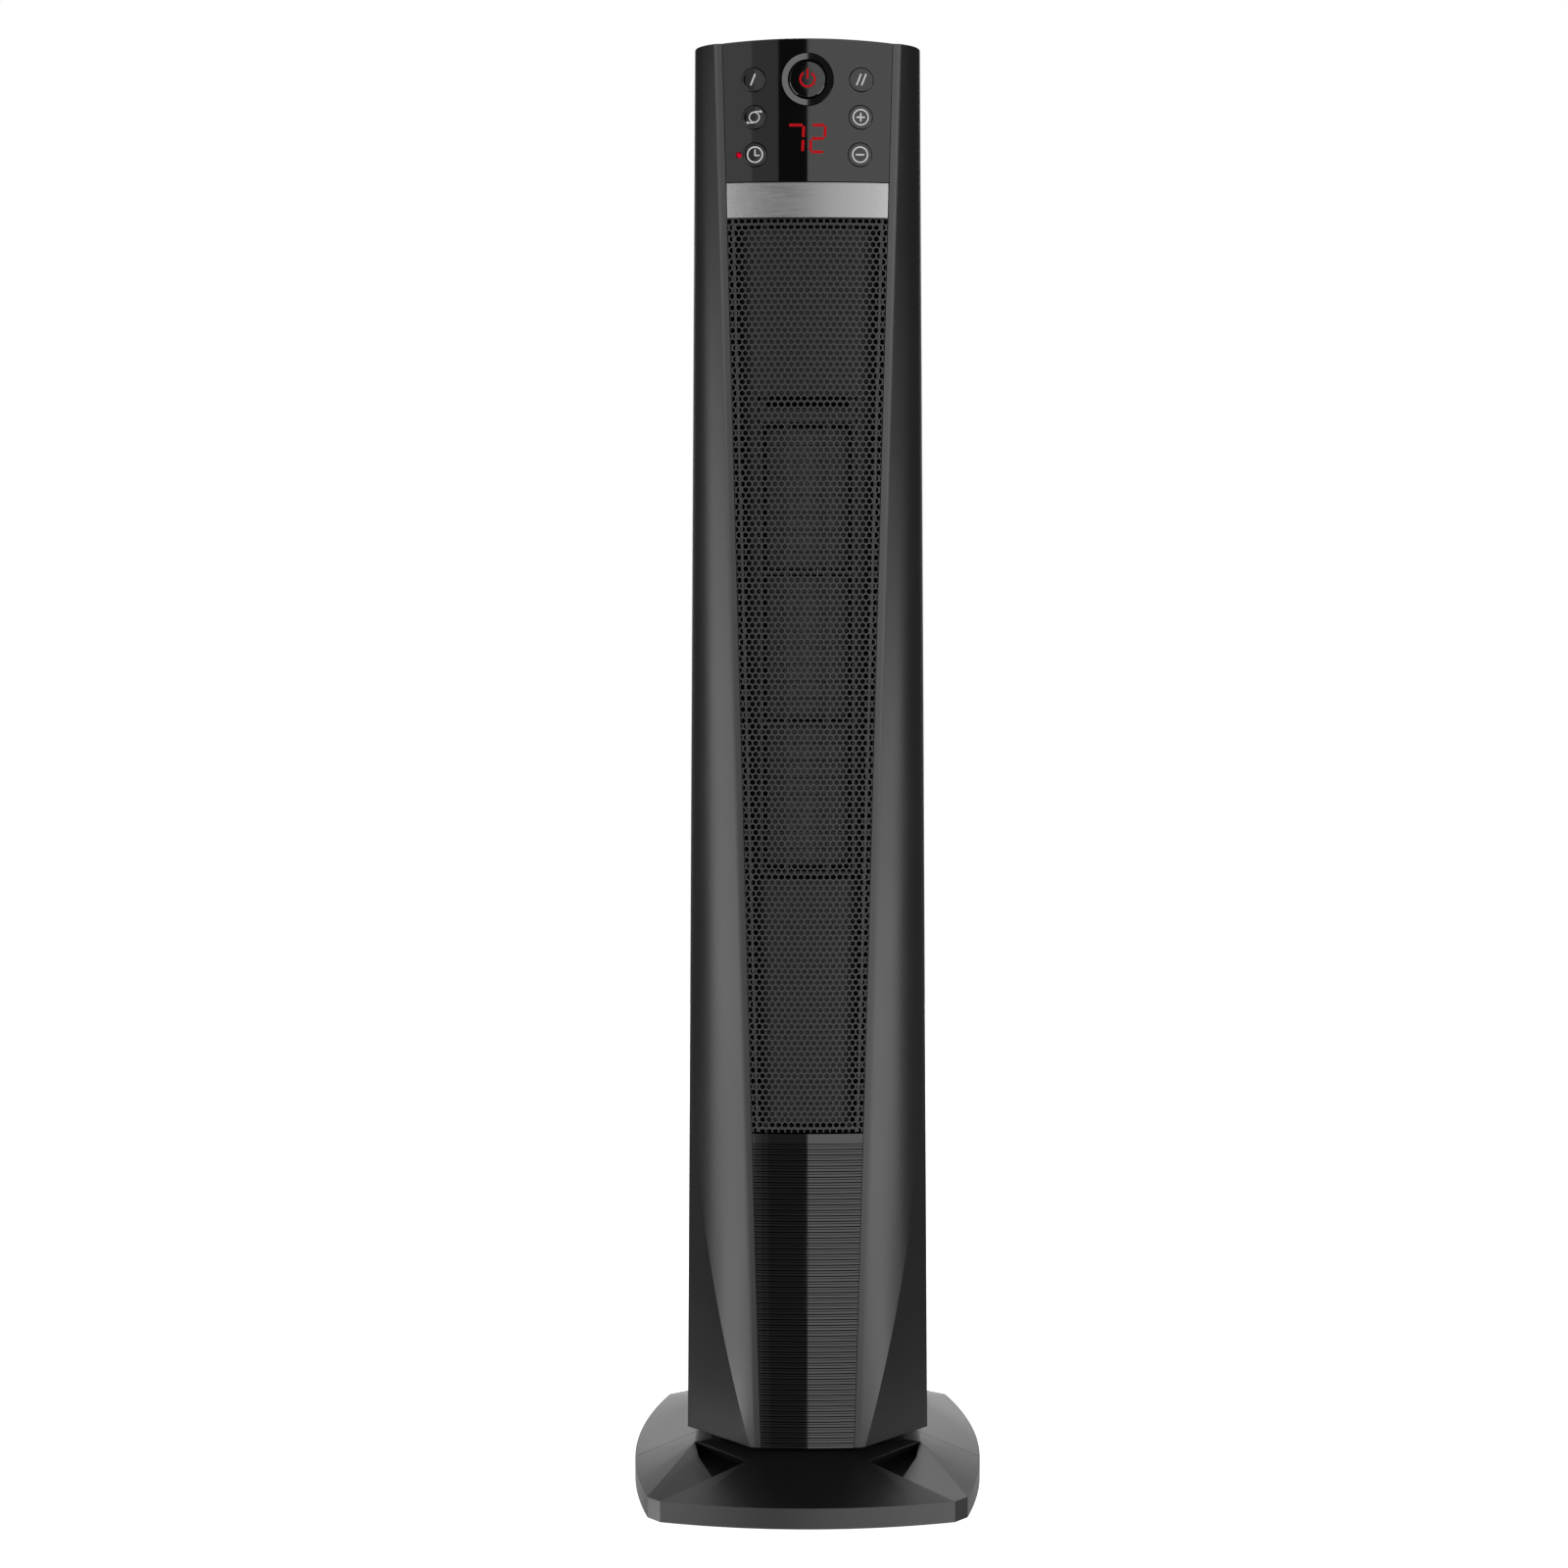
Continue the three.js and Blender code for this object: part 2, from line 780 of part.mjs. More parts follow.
function ribbedPanel() {
  const top = grilleBottom - seat;
  const ribTop = top - ribbedBorder;
  const pitch = (ribTop - columnBottom) / ribCount;
  const rows = [[columnBottom + seat, ribDepth]];
  const stepShare = 0.3;
  for (let i = 1; i <= ribCount; i += 1) {
    const z = columnBottom + pitch * i;
    rows.push([z - pitch * stepShare, 0]);
    rows.push([z, i < ribCount ? ribDepth : 0]);
  }
  rows.push([top, 0]);
  return frontSlab(rows, (x, z) => z, 3);
}

// Honeycomb holes as six-sided pins, in rows that shift by half a pitch, trimmed to the field they fill.
function honeycomb() {
  const rowPitch = cellPitch * Math.sqrt(3) / 2;
  const radius = (cellPitch - cellWeb) / Math.sqrt(3);
  const low = grilleBottom + grilleMargin;
  const high = bandBottom - grilleMargin;
  const rows = Math.round((high - low) / rowPitch - 1 / 3);
  const start = (low + high - rows * rowPitch) / 2;
  const pins = [];
  for (let row = 0; row <= rows; row += 1) {
    const z = start + row * rowPitch;
    const room = panelHalfWidth(z) - grilleMargin + cellPitch / 6;
    const shift = row % 2 ? cellPitch / 2 : 0;
    const reach = Math.ceil(room / cellPitch);
    for (let i = -reach; i <= reach; i += 1) {
      const x = i * cellPitch + shift;
      if (Math.abs(x) <= room) {
        pins.push(hexagon(x, z, radius));
      }
    }
  }
  return common(mergeGeometries(pins), honeycombField(low, high));
}

function honeycombField(low, high) {
  const half = (z) => panelHalfWidth(z) - grilleMargin;
  return loft([low, high].map((z) => [
    [-half(z), -columnFront * 2, z],
    [half(z), -columnFront * 2, z],
    [half(z), 0, z],
    [-half(z), 0, z],
  ]));
}

// A level six-sided pin that passes through the front.
function hexagon(x, z, radius) {
  const outline = [];
  for (let i = 0; i < 6; i += 1) {
    const angle = (i / 6) * Math.PI * 2 + Math.PI / 2;
    outline.push([radius * Math.cos(angle), radius * Math.sin(angle)]);
  }
  return prism(outline, 0, columnFront / 2).rotateX(Math.PI / 2).translate(x, -columnFront * 3 / 4, z);
}

function grille() {
  const low = grilleBottom + seat;
  const high = bandBottom;
  const leanTop = Math.min(high, Math.max(columnBottom + leanHeight, low + grilleMargin));
  const leanRows = 3;
  const rows = [[low, 0]];
  for (let i = 1; i <= leanRows; i += 1) {
    rows.push([lerp(low, leanTop, i / leanRows), 0]);
  }
  rows.push([high, 0]);
  return cut(frontSlab(rows, (x, z) => z), honeycomb());
}

// Plates and frame behind the grille

function blankPlate(low, high) {
  const steps = 6;
  const loops = [low, high].map((z) => {
    const half = panelHalfWidth(z) - grilleMargin;
    const front = [];
    const back = [];
    for (let i = 0; i <= steps; i += 1) {
      const x = lerp(-half, half, i / steps);
      const y = frontAt(x, z) + panelThickness + seat;
      front.push([x, y, z]);
      back.push([x, y + blankThickness, z]);
    }
    return [...front, ...back.reverse()];
  });
  return loft(loops);
}

function upperBlank() {
  return blankPlate(outletTop + seam, bandBottom - seam);
}

function lowerBlank() {
  return blankPlate(grilleBottom + seam, outletBottom - seam);
}

// A frame with three columns and three rows of windows.
function outletFrame() {
  const [columns, rows] = [3, 3];
  const back = -chassisFront - seat;
  const front = back - outletThickness;
  const innerHalf = outletHalfWidth - outletBorder;
  const low = outletBottom + outletBorder;
  const high = outletTop - outletHeadBorder;
  const cellWidth = (innerHalf * 2 - outletBar * (columns - 1)) / columns;
  const cellHeight = (high - low - outletBar * (rows - 1)) / rows;
  const windows = [];
  for (let column = 0; column < columns; column += 1) {
    for (let row = 0; row < rows; row += 1) {
      const left = -innerHalf + column * (cellWidth + outletBar);
      const bottom = low + row * (cellHeight + outletBar);
      windows.push(block(
        [left, front - overrun, bottom],
        [left + cellWidth, back + overrun, bottom + cellHeight],
      ));
    }
  }
  return cut(block([-outletHalfWidth, front, outletBottom], [outletHalfWidth, back, outletTop]), ...windows);
}

// Heater

function elementHeight() {
  return (outletTop - outletBottom - outletHeadBorder - outletBorder - elementGap * 2) / 3;
}

function elementBottom(index) {
  return outletBottom + outletBorder + index * (elementHeight() + elementGap);
}

// A ceramic block with a comb of level fins on its front.
function heaterElement(index) {
  const half = chassisHalfWidth - wall - seat;
  const low = elementBottom(index);
  const high = low + elementHeight();
  const front = -chassisFront + elementSetback;
  const core = block([-half, front + finHeight, low], [half, front + elementDepth, high]);
  const fins = [];
  for (let i = 0; i < finCount; i += 1) {
    const z = lerp(low, high - finThickness, i / (finCount - 1));
    fins.push(block([-half, front, z], [half, front + finHeight + wall / 2, z + finThickness]));
  }
  return join(core, ...fins);
}

// The channel that carries the heater, the blank plates and the circuit board.
function chassis() {
  const outline = [
    [-chassisHalfWidth, -chassisFront],
    [-chassisHalfWidth + wall, -chassisFront],
    [-chassisHalfWidth + wall, -chassisBack - wall],
    [chassisHalfWidth - wall, -chassisBack - wall],
    [chassisHalfWidth - wall, -chassisFront],
    [chassisHalfWidth, -chassisFront],
    [chassisHalfWidth, -chassisBack],
    [-chassisHalfWidth, -chassisBack],
  ];
  const channel = prism(outline, turntableTop + seat, chassisTop);
  const window = block(
    [-chassisHalfWidth + wall, -chassisBack - wall * 2, elementBottom(0)],
    [chassisHalfWidth - wall, -chassisBack + overrun, elementBottom(2) + elementHeight()],
  );
  const relief = block(
    [-columnFront, -chassisFront - overrun, 0],
    [columnFront, panelBackAt(columnBottom) + seam, grilleBottom],
  );
  return cut(channel, window, relief);
}

// Blower

function wheelLow() {
  return elementBottom(0) + wheelGap;
}

function wheelHigh() {
  return elementBottom(2) + elementHeight() - wheelGap;
}

function blade() {
  const steps = 2;
  const sweep = Math.PI / 3;
  const outline = [];
  for (const shift of [0, bladeThickness]) {
    const line = [];
    for (let i = 0; i <= steps; i += 1) {
      const t = i / steps;
      const radius = wheelRadius - bladeDepth * (1 - t);
      const angle = (bladeDepth / wheelRadius) * Math.sin(t * sweep) + shift / wheelRadius;
      line.push([radius * Math.cos(angle), radius * Math.sin(angle)]);
    }
    outline.push(...(shift ? line.reverse() : line));
  }
  return outline;
}

function blowerWheel() {
  const low = wheelLow();
  const high = wheelHigh();
  const blades = [];
  for (let i = 0; i < bladeCount; i += 1) {
    blades.push(prism(blade(), low, high).rotateZ((i / bladeCount) * Math.PI * 2));
  }
  const rimInner = wheelRadius - bladeDepth;
  const outer = wheelRadius + seat;
  const wheel = join(
    disc(outer, low, low + wheelDisc, 20),
    ring(rimInner, outer, high - wheelDisc, high, 20),
    ring(rimInner, outer, lerp(low, high, 1 / 2), lerp(low, high, 1 / 2) + wheelDisc, 20),
    disc(bearingRadius, low, low + wheelDisc * 4, 12),
    ...blades,
  );
  return cut(wheel, disc(shaftRadius + seat, low - overrun, high + overrun, 12)).translate(0, wheelY, 0);
}

function housingLow() {
  return wheelLow() - wheelGap - wall;
}

function housingHigh() {
  return wheelHigh() + wheelGap + wall;
}

function blowerShaft() {
  const low = housingLow() - bracketThickness - motorHeight / 2;
  return disc(shaftRadius, low, housingHigh() + bearingHeight, 12).translate(0, wheelY, 0);
}

function bearing() {
  const low = housingHigh() + seat;
  return ring(shaftRadius + seat, bearingRadius, low, low + bearingHeight - seat, 16).translate(0, wheelY, 0);
}

// Two end plates and two curved cheeks round the wheel, open to the front and the rear.
function blowerHousing() {
  const inner = wheelRadius + housingMargin;
  const outer = inner + wall;
  const front = -chassisBack + seat;
  const plan = [
    [-outer, front],
    [outer, front],
    [outer, wheelY],
    ...cheekArc(outer, 0),
    ...cheekArc(outer, 1),
    [-outer, wheelY],
  ];
  const low = housingLow();
  const high = housingHigh();
  const body = prism(plan, low, high);
  const hollow = prism([
    [-inner, front - overrun],
    [inner, front - overrun],
    [inner, wheelY],
    ...cheekArc(inner, 0),
    ...cheekArc(inner, 1),
    [-inner, wheelY],
  ], low + wall, high - wall);
  const mouth = block([-inner * 2 / 3, wheelY, low + wall], [inner * 2 / 3, wheelY + outer + overrun, high - wall]);
  const bore = disc(shaftRadius + seat, low - overrun, high + overrun, 12).translate(0, wheelY, 0);
  return cut(body, hollow, mouth, bore);
}

// A quarter arc of the housing behind the wheel's axis: the right one, then the left one.
function cheekArc(radius, quarter) {
  const steps = 6;
  const points = [];
  for (let i = 1; i <= steps; i += 1) {
    const angle = (quarter + i / (steps + 1)) * Math.PI / 2;
    points.push([radius * Math.cos(angle), wheelY + radius * Math.sin(angle)]);
  }
  return points;
}

function motorBracket() {
  const high = housingLow() - seat;
  const half = wheelRadius + housingMargin + wall;
  const plate = block([-half, -chassisBack + seat, high - bracketThickness], [half, wheelY + motorRadius, high]);
  return cut(plate, disc(shaftRadius + seat, 0, columnTop, 12).translate(0, wheelY, 0));
}

function blowerMotor() {
  const high = housingLow() - seat * 2 - bracketThickness;
  const low = high - motorHeight;
  const profile = [
    [0, low],
    [motorRadius * 3 / 4, low],
    [motorRadius, low + motorHeight / 8],
    [motorRadius, high - motorHeight / 8],
    [motorRadius * 3 / 4, high],
    [0, high],
  ];
  const body = new THREE.LatheGeometry(profile.map(([r, z]) => new THREE.Vector2(r, z)), 24).rotateX(Math.PI / 2);
  const bore = disc(shaftRadius + seat, housingLow() - bracketThickness - motorHeight / 2 - seat, columnTop, 12);
  return cut(body, bore).translate(0, wheelY, 0);
}

// A round snap switch clipped to the channel beside the top of the heater.
function thermalCutout() {
  return disc(cutoutRadius, 0, cutoutThickness, 16)
    .rotateY(Math.PI / 2)
    .translate(chassisHalfWidth + seat, -chassisFront + elementDepth, outletTop);
}

function tipSwitch() {
  const left = neckRadius - neckWall - tipSwitchWidth;
  const low = turntableTop + seat;
  return block([left, -tipSwitchDepth / 2, low], [left + tipSwitchWidth, tipSwitchDepth / 2, low + tipSwitchHeight]);
}

// Controls

function powerLevel() {
  return columnTop - powerDrop;
}

function buttonLevel(row) {
  return powerLevel() - row * buttonPitch;
}

function smallButtons() {
  const names = [
    ['low_heat_button', -1, 0],
    ['swivel_button', -1, 1],
    ['timer_button', -1, 2],
    ['high_heat_button', 1, 0],
    ['plus_button', 1, 1],
    ['minus_button', 1, 2],
  ];
  return names.map(([name, side, row]) => {
    const z = buttonLevel(row);
    const x = side * buttonX * panelHalfWidth(z) / panelHalfWidth(powerLevel());
    return { name, x, z };
  });
}

function faceAngle(x) {
  return Math.atan(x / panelCurveRadius);
}

// A hole through the front panel along its own normal.
function faceHole(x, z, radius) {
  return disc(radius, -overrun, overrun * 2, 16)
    .rotateX(-Math.PI / 2)
    .rotateZ(faceAngle(x))
    .translate(x, frontAt(x, z), z);
}

// A button in its own frame: the cap's face at the origin, pressed towards +Y, with a stem behind it.
function buttonBody(radius, stemEnd) {
  const edge = buttonProud / 2;
  const profile = [
    [0, 0],
    [radius - edge, 0],
    [radius, edge],
    [radius, capLength],
    [stemRadius, capLength],
    [stemRadius, stemEnd],
    [0, stemEnd],
  ];
  return new THREE.LatheGeometry(profile.map(([r, y]) => new THREE.Vector2(r, y)), 16);
}

function boardFront() {
  return chassisFront + seat + boardThickness;
}

function stemLength(x, z) {
  const face = frontAt(x, z) - buttonProud;
  return (-boardFront() - buttonTravel - seat - face) / Math.cos(faceAngle(x)) - Math.abs(faceAngle(x)) * stemRadius;
}

function powerRing() {
  return ring(powerRadius + seam, powerRadius + ringWidth, 0, ringThickness, 24)
    .rotateX(-Math.PI / 2)
    .translate(0, frontAt(0, powerLevel()) - buttonProud, powerLevel());
}

function indicatorLamp() {
  return disc(lampRadius, 0, ringThickness, 12)
    .rotateX(-Math.PI / 2)
    .translate(0, -buttonProud / 2, 0);
}

function displayModule() {
  const front = -columnFront + panelThickness + seat * 2;
  const top = columnTop - displayDrop + displayHeight / 2;
  return block(
    [-displayWidth / 2, front, top - displayHeight],
    [displayWidth / 2, -boardFront() - seat, top],
  );
}

function circuitBoard() {
  const top = columnTop - boardHeadGap - crownDrop - capThickness;
  return block(
    [-boardHalfWidth, -boardFront(), top - boardLength],
    [boardHalfWidth, -chassisFront - seat, top],
  );
}

// Materials

function finish(color, roughness, metalness = 0) {
  return new THREE.MeshStandardMaterial({ color, roughness, metalness });
}

const satinBlack = finish(0x2b2b2b, 0.45);
const softBlack = finish(0x1d1d1d, 0.6);
const glossBlack = finish(0x0c0c0d, 0.12);
const grilleBlack = finish(0x202021, 0.5);
const silver = finish(0xa9a9a9, 0.35, 0.8);
const steel = finish(0x8d9094, 0.4, 0.9);
const ceramic = finish(0xb8b2a6, 0.8);
const boardGreen = finish(0x1f4a34, 0.6);
const rubber = finish(0x151515, 0.9);
const nylon = finish(0xd8d6cc, 0.5);
const redLamp = finish(0xc8161a, 0.3);

// Assembly

const group = new THREE.Group();

function add(name, geometry, material, parent = group) {
  const mesh = new THREE.Mesh(geometry, material);
  mesh.name = name;
  parent.add(mesh);
  return mesh;
}

function addBase() {
  add('base_front', baseFront(), satinBlack);
  add('base_rear', baseRear(), satinBlack);
  add('bottom_plate', bottomPlate(), softBlack);
  add('ballast_weight', ballast(), steel);
  add('cord_gland', cordGland(), rubber);
  const footX = frontChamferX - footInset;
  const footFrontY = frontCornerY - footInset;
  const footRearY = rearCornerY - footInset;
  add('foot_front_left', foot(-footX, -footFrontY), rubber);
  add('foot_front_right', foot(footX, -footFrontY), rubber);
  add('foot_rear_left', foot(-footX, footRearY), rubber);
  add('foot_rear_right', foot(footX, footRearY), rubber);
}

function addSwivel() {
  add('swivel_plate', swivelPlate(), steel);
  add('thrust_washer', thrustWasher(), nylon);
  add('turntable', turntable(), softBlack);
  add('retaining_clip', retainingClip(), steel);
  add('swivel_crank', swivelCrank(), nylon);
  add('swivel_motor', gearMotor(), steel);
}

function addColumn() {
  add('left_shell', sideShell(-1), satinBlack);
  add('right_shell', sideShell(1), satinBlack);
  add('rear_cover', rearCover(), satinBlack);
  add('top_cap', topCap(), satinBlack);
  add('control_panel', controlPanel(), glossBlack);
  add('silver_band', silverBand(), silver);
  add('grille', grille(), grilleBlack);
  add('ribbed_panel', ribbedPanel(), glossBlack);
}

function addHeater() {
  add('upper_blank', upperBlank(), softBlack);
  add('lower_blank', lowerBlank(), softBlack);
  add('outlet_frame', outletFrame(), softBlack);
  add('chassis', chassis(), softBlack);
  ['lower', 'middle', 'upper'].forEach((place, index) => {
    add(`heater_element_${place}`, heaterElement(index), ceramic);
  });
  add('thermal_cutout', thermalCutout(), steel);
  add('tip_over_switch', tipSwitch(), softBlack);
}

function addBlower() {
  add('blower_housing', blowerHousing(), softBlack);
  add('blower_wheel', blowerWheel(), softBlack);
  add('blower_shaft', blowerShaft(), steel);
  add('shaft_bearing', bearing(), nylon);
  add('motor_bracket', motorBracket(), steel);
  add('blower_motor', blowerMotor(), steel);
}

function addControls() {
  add('circuit_board', circuitBoard(), boardGreen);
  add('display_module', displayModule(), softBlack);
  add('power_ring', powerRing(), glossBlack);
  const power = add('power_button', buttonBody(powerRadius, stemLength(0, powerLevel())), glossBlack);
  power.position.set(0, frontAt(0, powerLevel()) - buttonProud, powerLevel());
  for (const { name, x, z } of smallButtons()) {
    const button = add(name, buttonBody(smallRadius, stemLength(x, z)), glossBlack);
    button.rotation.z = faceAngle(x);
    button.position.set(x, frontAt(x, z) - buttonProud, z);
  }
  const lamp = add('indicator_lamp', indicatorLamp(), redLamp);
  lamp.rotation.z = faceAngle(-lampX);
  lamp.position.set(-lampX, frontAt(lampX, buttonLevel(2)), buttonLevel(2));
}

addBase();
addSwivel();
addColumn();
addHeater();
addBlower();
addControls();

export default group;
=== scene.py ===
# Tower heater: the finished surfaces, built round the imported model.
# Shapes are in millimetres with the front facing -Y, and are scaled to metres as each piece is finished.
import functools
import json
import math

import bmesh
import bpy
from mathutils import Matrix, Vector


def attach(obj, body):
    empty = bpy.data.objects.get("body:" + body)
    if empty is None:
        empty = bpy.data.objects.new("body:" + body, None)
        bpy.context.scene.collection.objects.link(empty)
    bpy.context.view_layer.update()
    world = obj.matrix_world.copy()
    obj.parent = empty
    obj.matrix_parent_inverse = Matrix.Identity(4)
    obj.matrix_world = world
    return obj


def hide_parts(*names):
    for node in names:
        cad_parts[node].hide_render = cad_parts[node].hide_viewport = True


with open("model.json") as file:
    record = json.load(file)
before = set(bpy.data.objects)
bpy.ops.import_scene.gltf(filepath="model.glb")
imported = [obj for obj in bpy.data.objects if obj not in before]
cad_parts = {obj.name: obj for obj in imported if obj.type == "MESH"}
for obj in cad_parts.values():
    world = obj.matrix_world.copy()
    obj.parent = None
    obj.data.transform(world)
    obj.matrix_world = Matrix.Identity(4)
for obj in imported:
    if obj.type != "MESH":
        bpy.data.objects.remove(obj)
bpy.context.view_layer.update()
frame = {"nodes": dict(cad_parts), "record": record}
MM = 0.001

# Camera: its place in metres, its tilt in degrees and its lens in millimetres
CAMERA_PLACE, CAMERA_TILT = (0, -1.585, 0.5155), 4.086
SENSOR_WIDTH, LENS, LENS_SHIFT = 36, 63, -0.015
FLOOR_HALF = 6

# Column; a value that ends in STEPS, ROWS or SLICES is a count
COLUMN_BOTTOM, COLUMN_TOP = 35, 808.5
COLUMN_HEIGHT = COLUMN_TOP - COLUMN_BOTTOM
FOOT_HALF, HEAD_HALF = 68.8, 61.1
FRONT, BACK = 94, 62
LEAN, LEAN_HEIGHT = 14, 296
CURVE_RADIUS = 270
PANEL_FOOT_HALF, PANEL_HEAD_HALF = 26, 45.6
STRIP_FOOT, STRIP_HEAD = 3.8, 4.2
CORNER_FOOT, CORNER_HEAD = 38.7, 70
BULGE_FOOT, BULGE_HEAD = 12, 6
FACET_HEIGHT, FACET_FOOT_SHARE = 225, 0.045
CROWN_DROP = 2
SQUARENESS = 0.77
PARTING_SHARE = 0.35
WALL = 2.5
SEAM = 0.3
SEAT = 0.3
PANEL_THICKNESS = 3
STRIP_INSET_SHARE, CORNER_INSET_SHARE = 0.45, 0.3
CREASE_SHARE = 0.96
CHEEK_STEPS, REAR_STEPS, STRIP_STEPS = 16, 14, 6
FACET_ROWS, LEAN_ROWS, UPPER_ROWS = 22, 8, 6
EDGE_SOFTNESS = 0.9
SHELL_ROUNDING = 0.35
OVERRUN = 5

# Back of the column
SLOT_ROWS, SLOT_PITCH, SLOT_HEIGHT, SLOT_WIDTH, SLOT_SPACING = 14, 18, 7, 28, 33
SLOT_TOP, SLOT_ROUNDING_SHARE = 638.5, 0.45
BLADE_THICKNESS, BLADE_WIDTH, BLADE_ROUNDING = 1.4, 12, 0.4
BLADE_TURN, BLADE_SETBACK, BLADE_RISE = 50, 12, 3
HANDLE_TOP, HANDLE_HEIGHT, HANDLE_WIDTH, HANDLE_DEPTH, HANDLE_ROUNDING = 730.5, 32, 84, 24, 6
CUP_ROUNDING, CUP_INNER_ROUNDING = 5, 4
CAP_THICKNESS, CAP_ROUNDING, CAP_DROP, CAP_SLICES, CAP_SLICE_WIDTH = 3, 0.5, 1, 9, 6

# Front pieces
CONTROL_BOTTOM = 732.7
BAND_BOTTOM = 713.7
GRILLE_BOTTOM = 216.2
PANEL_ROUNDING, BAND_ROUNDING = 0.25, 0.3
RIB_COUNT = 56
RIB_BORDER, RIB_TOP_GAP, RIB_FOOT_DEPTH = 6.2, 0.7, 0.95
# Depth of the ribbed face after each share of a rib's height
RIB_PROFILE = [(0, 0.8), (0.1, 0), (0.49, 0.03), (0.555, 0.6), (0.62, 0), (0.9, 0)]
GROOVE_WIDTH, GROOVE_DEPTH, GROOVE_LIP = 0.3, 0.6, 0.1
CELL_PITCH = 3.525
CELL_HOLE = 2.66
SHEET_THICKNESS = 0.9
FIRST_ROW_DROP = 1.7
FRAME_NEAR, FRAME_FAR, FRAME_RISE, FRAME_BEAM = 2.4, 3.8, 1.4, 1.5
BACKING_NEAR, BACKING_FAR, BACKING_THICKNESS, BACKING_RISE, BACKING_TOP = 0.5, 3, 0.8, 1, 0.4
CLEARANCE = 0.05
PLATE_MARGIN, PLATE_THICKNESS = 5.2, 1.6
ROLL_WIDTH, ROLL_DEPTH = 11, 6
UPPER_PLATE, LOWER_PLATE, FLANK_PLATE = (619.7, 708.4), (221.8, 356.6), (357.9, 619.2)
FLANK_GAP = 0.6
# How directly a face has to look out of the curved front to be shaded as a part of it
FRONT_LIKENESS = 0.9995

# Warm air outlet
OUTLET_HALF, OUTLET_LOW, OUTLET_HIGH = 26.3, 358.9, 617.2
OUTLET_FRONT, OUTLET_BACK, OUTLET_ROUNDING = -89.6, -82, 0.5
OUTLET_CUT = (-95, -75)
WINDOW_HALF, WINDOW_LOW, WINDOW_HIGH = 24.3, 360.6, 604.9
BAR_X, BAR_WIDTH = 11.2, 2.0
BAR_LEVELS = (441.6, 523.9)
HOOD_HALF, HOOD_LOW, HOOD_STEP, HOOD_HIGH, HOOD_DEPTH = 23, 606.4, 612.4, 616, 1.5
HOOD_FRONT = -90
# The near-black sheet behind the frame is painted shade: how far its dark line reaches into the windows, its
# front and thickness, and how far it reaches past the outlet
SHADE_HEIGHT, SHADE_WIDTH, SHADE_FRONT, SHADE_THICKNESS = 2.6, 2.2, -83.2, 1
SHADE_REACH, SHADE_RISE, SHADE_DROP = 4, 1, 0.5

# Controls
POWER_RADIUS, RING_SLOPE, RING_WIDTH, SMALL_RADIUS = 10.5, 3.9, 3.3, 6.3
POWER_LEVEL = 786.9
BUTTON_PITCH = 19.8
BUTTON_X = 28.8
BUTTON_PROUD = 0.6
DISH = 0.24
DISH_SHARE = 0.95
STEM_RADIUS, CAP_DEPTH, BUTTON_DEPTH, POWER_DEPTH, RING_DEPTH = 2.6, 4, 6.4, 9, 5
POWER_BEVEL, POWER_PLAY, POWER_MARK_SETBACK = 1.2, 0.25, 0.03
LAMP_X, LAMP_LEVEL, LAMP_HOLE = 36.9, POWER_LEVEL - 2 * BUTTON_PITCH, 1.4
INK_DEPTH, INK_LIFT, MARK_LINE, ARROW_RADIUS = 0.05, 0.01, 0.85, 0.95
DIGIT_LINE, DIGIT_SLANT, DIGIT_LIFT = 1.5, 0.05, 0.02
DIGIT_BOTTOM, DIGIT_WIDTH, DIGIT_HEIGHT = 748.6, 7.4, 14.2
SEVEN_LEFT, SEVEN_EXTRA, TWO_LEFT = -11.2, 1.1, 1.5

# Base
RIM_BOTTOM, RIM_TOP, PLATEAU = 2.0, 13.7, 28.5
BASE_HALF, FRONT_REACH, REAR_REACH = 100.5, 117.7, 115
FRONT_CORNER, FRONT_CHAMFER = (88.7, 97.8), (81.3, 105.9)
REAR_CORNER, REAR_CHAMFER = (86, 96.5), (75, 103)
SEAM_Y = -27.5
PLATEAU_EDGE, PLATEAU_NOSE = (64.5, 46.4), (34, 81.3)
NECK_HOLE, NECK_CUT = 51.2, 40
# The rim's curve stays this much inside the solids' greatest width
SIDE_CLEARANCE = 0.04
SPLIT_HALF, SPLIT_REACH, SPLIT_LOW, SPLIT_HIGH = 0.22, 300, -10, 60
RIM_MARGIN, BASE_ROUNDING, BOTTOM_ROUNDING = 0.1, 0.25, 0.4
POCKET_LIP, POCKET_SHOULDER, POCKET_DEPTH, POCKET_UNDERCUT = (53, 91.3), (61.5, 66.5), 7.5, 6
UNDERCUT_OVERLAP, UNDERCUT_ROOF, UNDERCUT_LIP = 0.5, 0.1, 0.02
COLLAR_RADIUS, COLLAR_HALF, COLLAR_HEIGHT, COLLAR_DROP = 73.5, 55.2, 2.8, 0.5
BOTTOM_THICKNESS = 2.5
FOOT_X, FOOT_FRONT, FOOT_REAR = 65.3, 81.8, 80.5
GLAND_HOLE, GLAND_CUT, GLAND_LEVEL = 3.2, 12, (RIM_BOTTOM + RIM_TOP) / 2

# Light: every card is a soft rectangle, in metres
CARDS_LOW, CARDS_HIGH = -1.6, 1.7
FRONT_DISTANCE, SIDE_DISTANCE = 2.2, 1.9
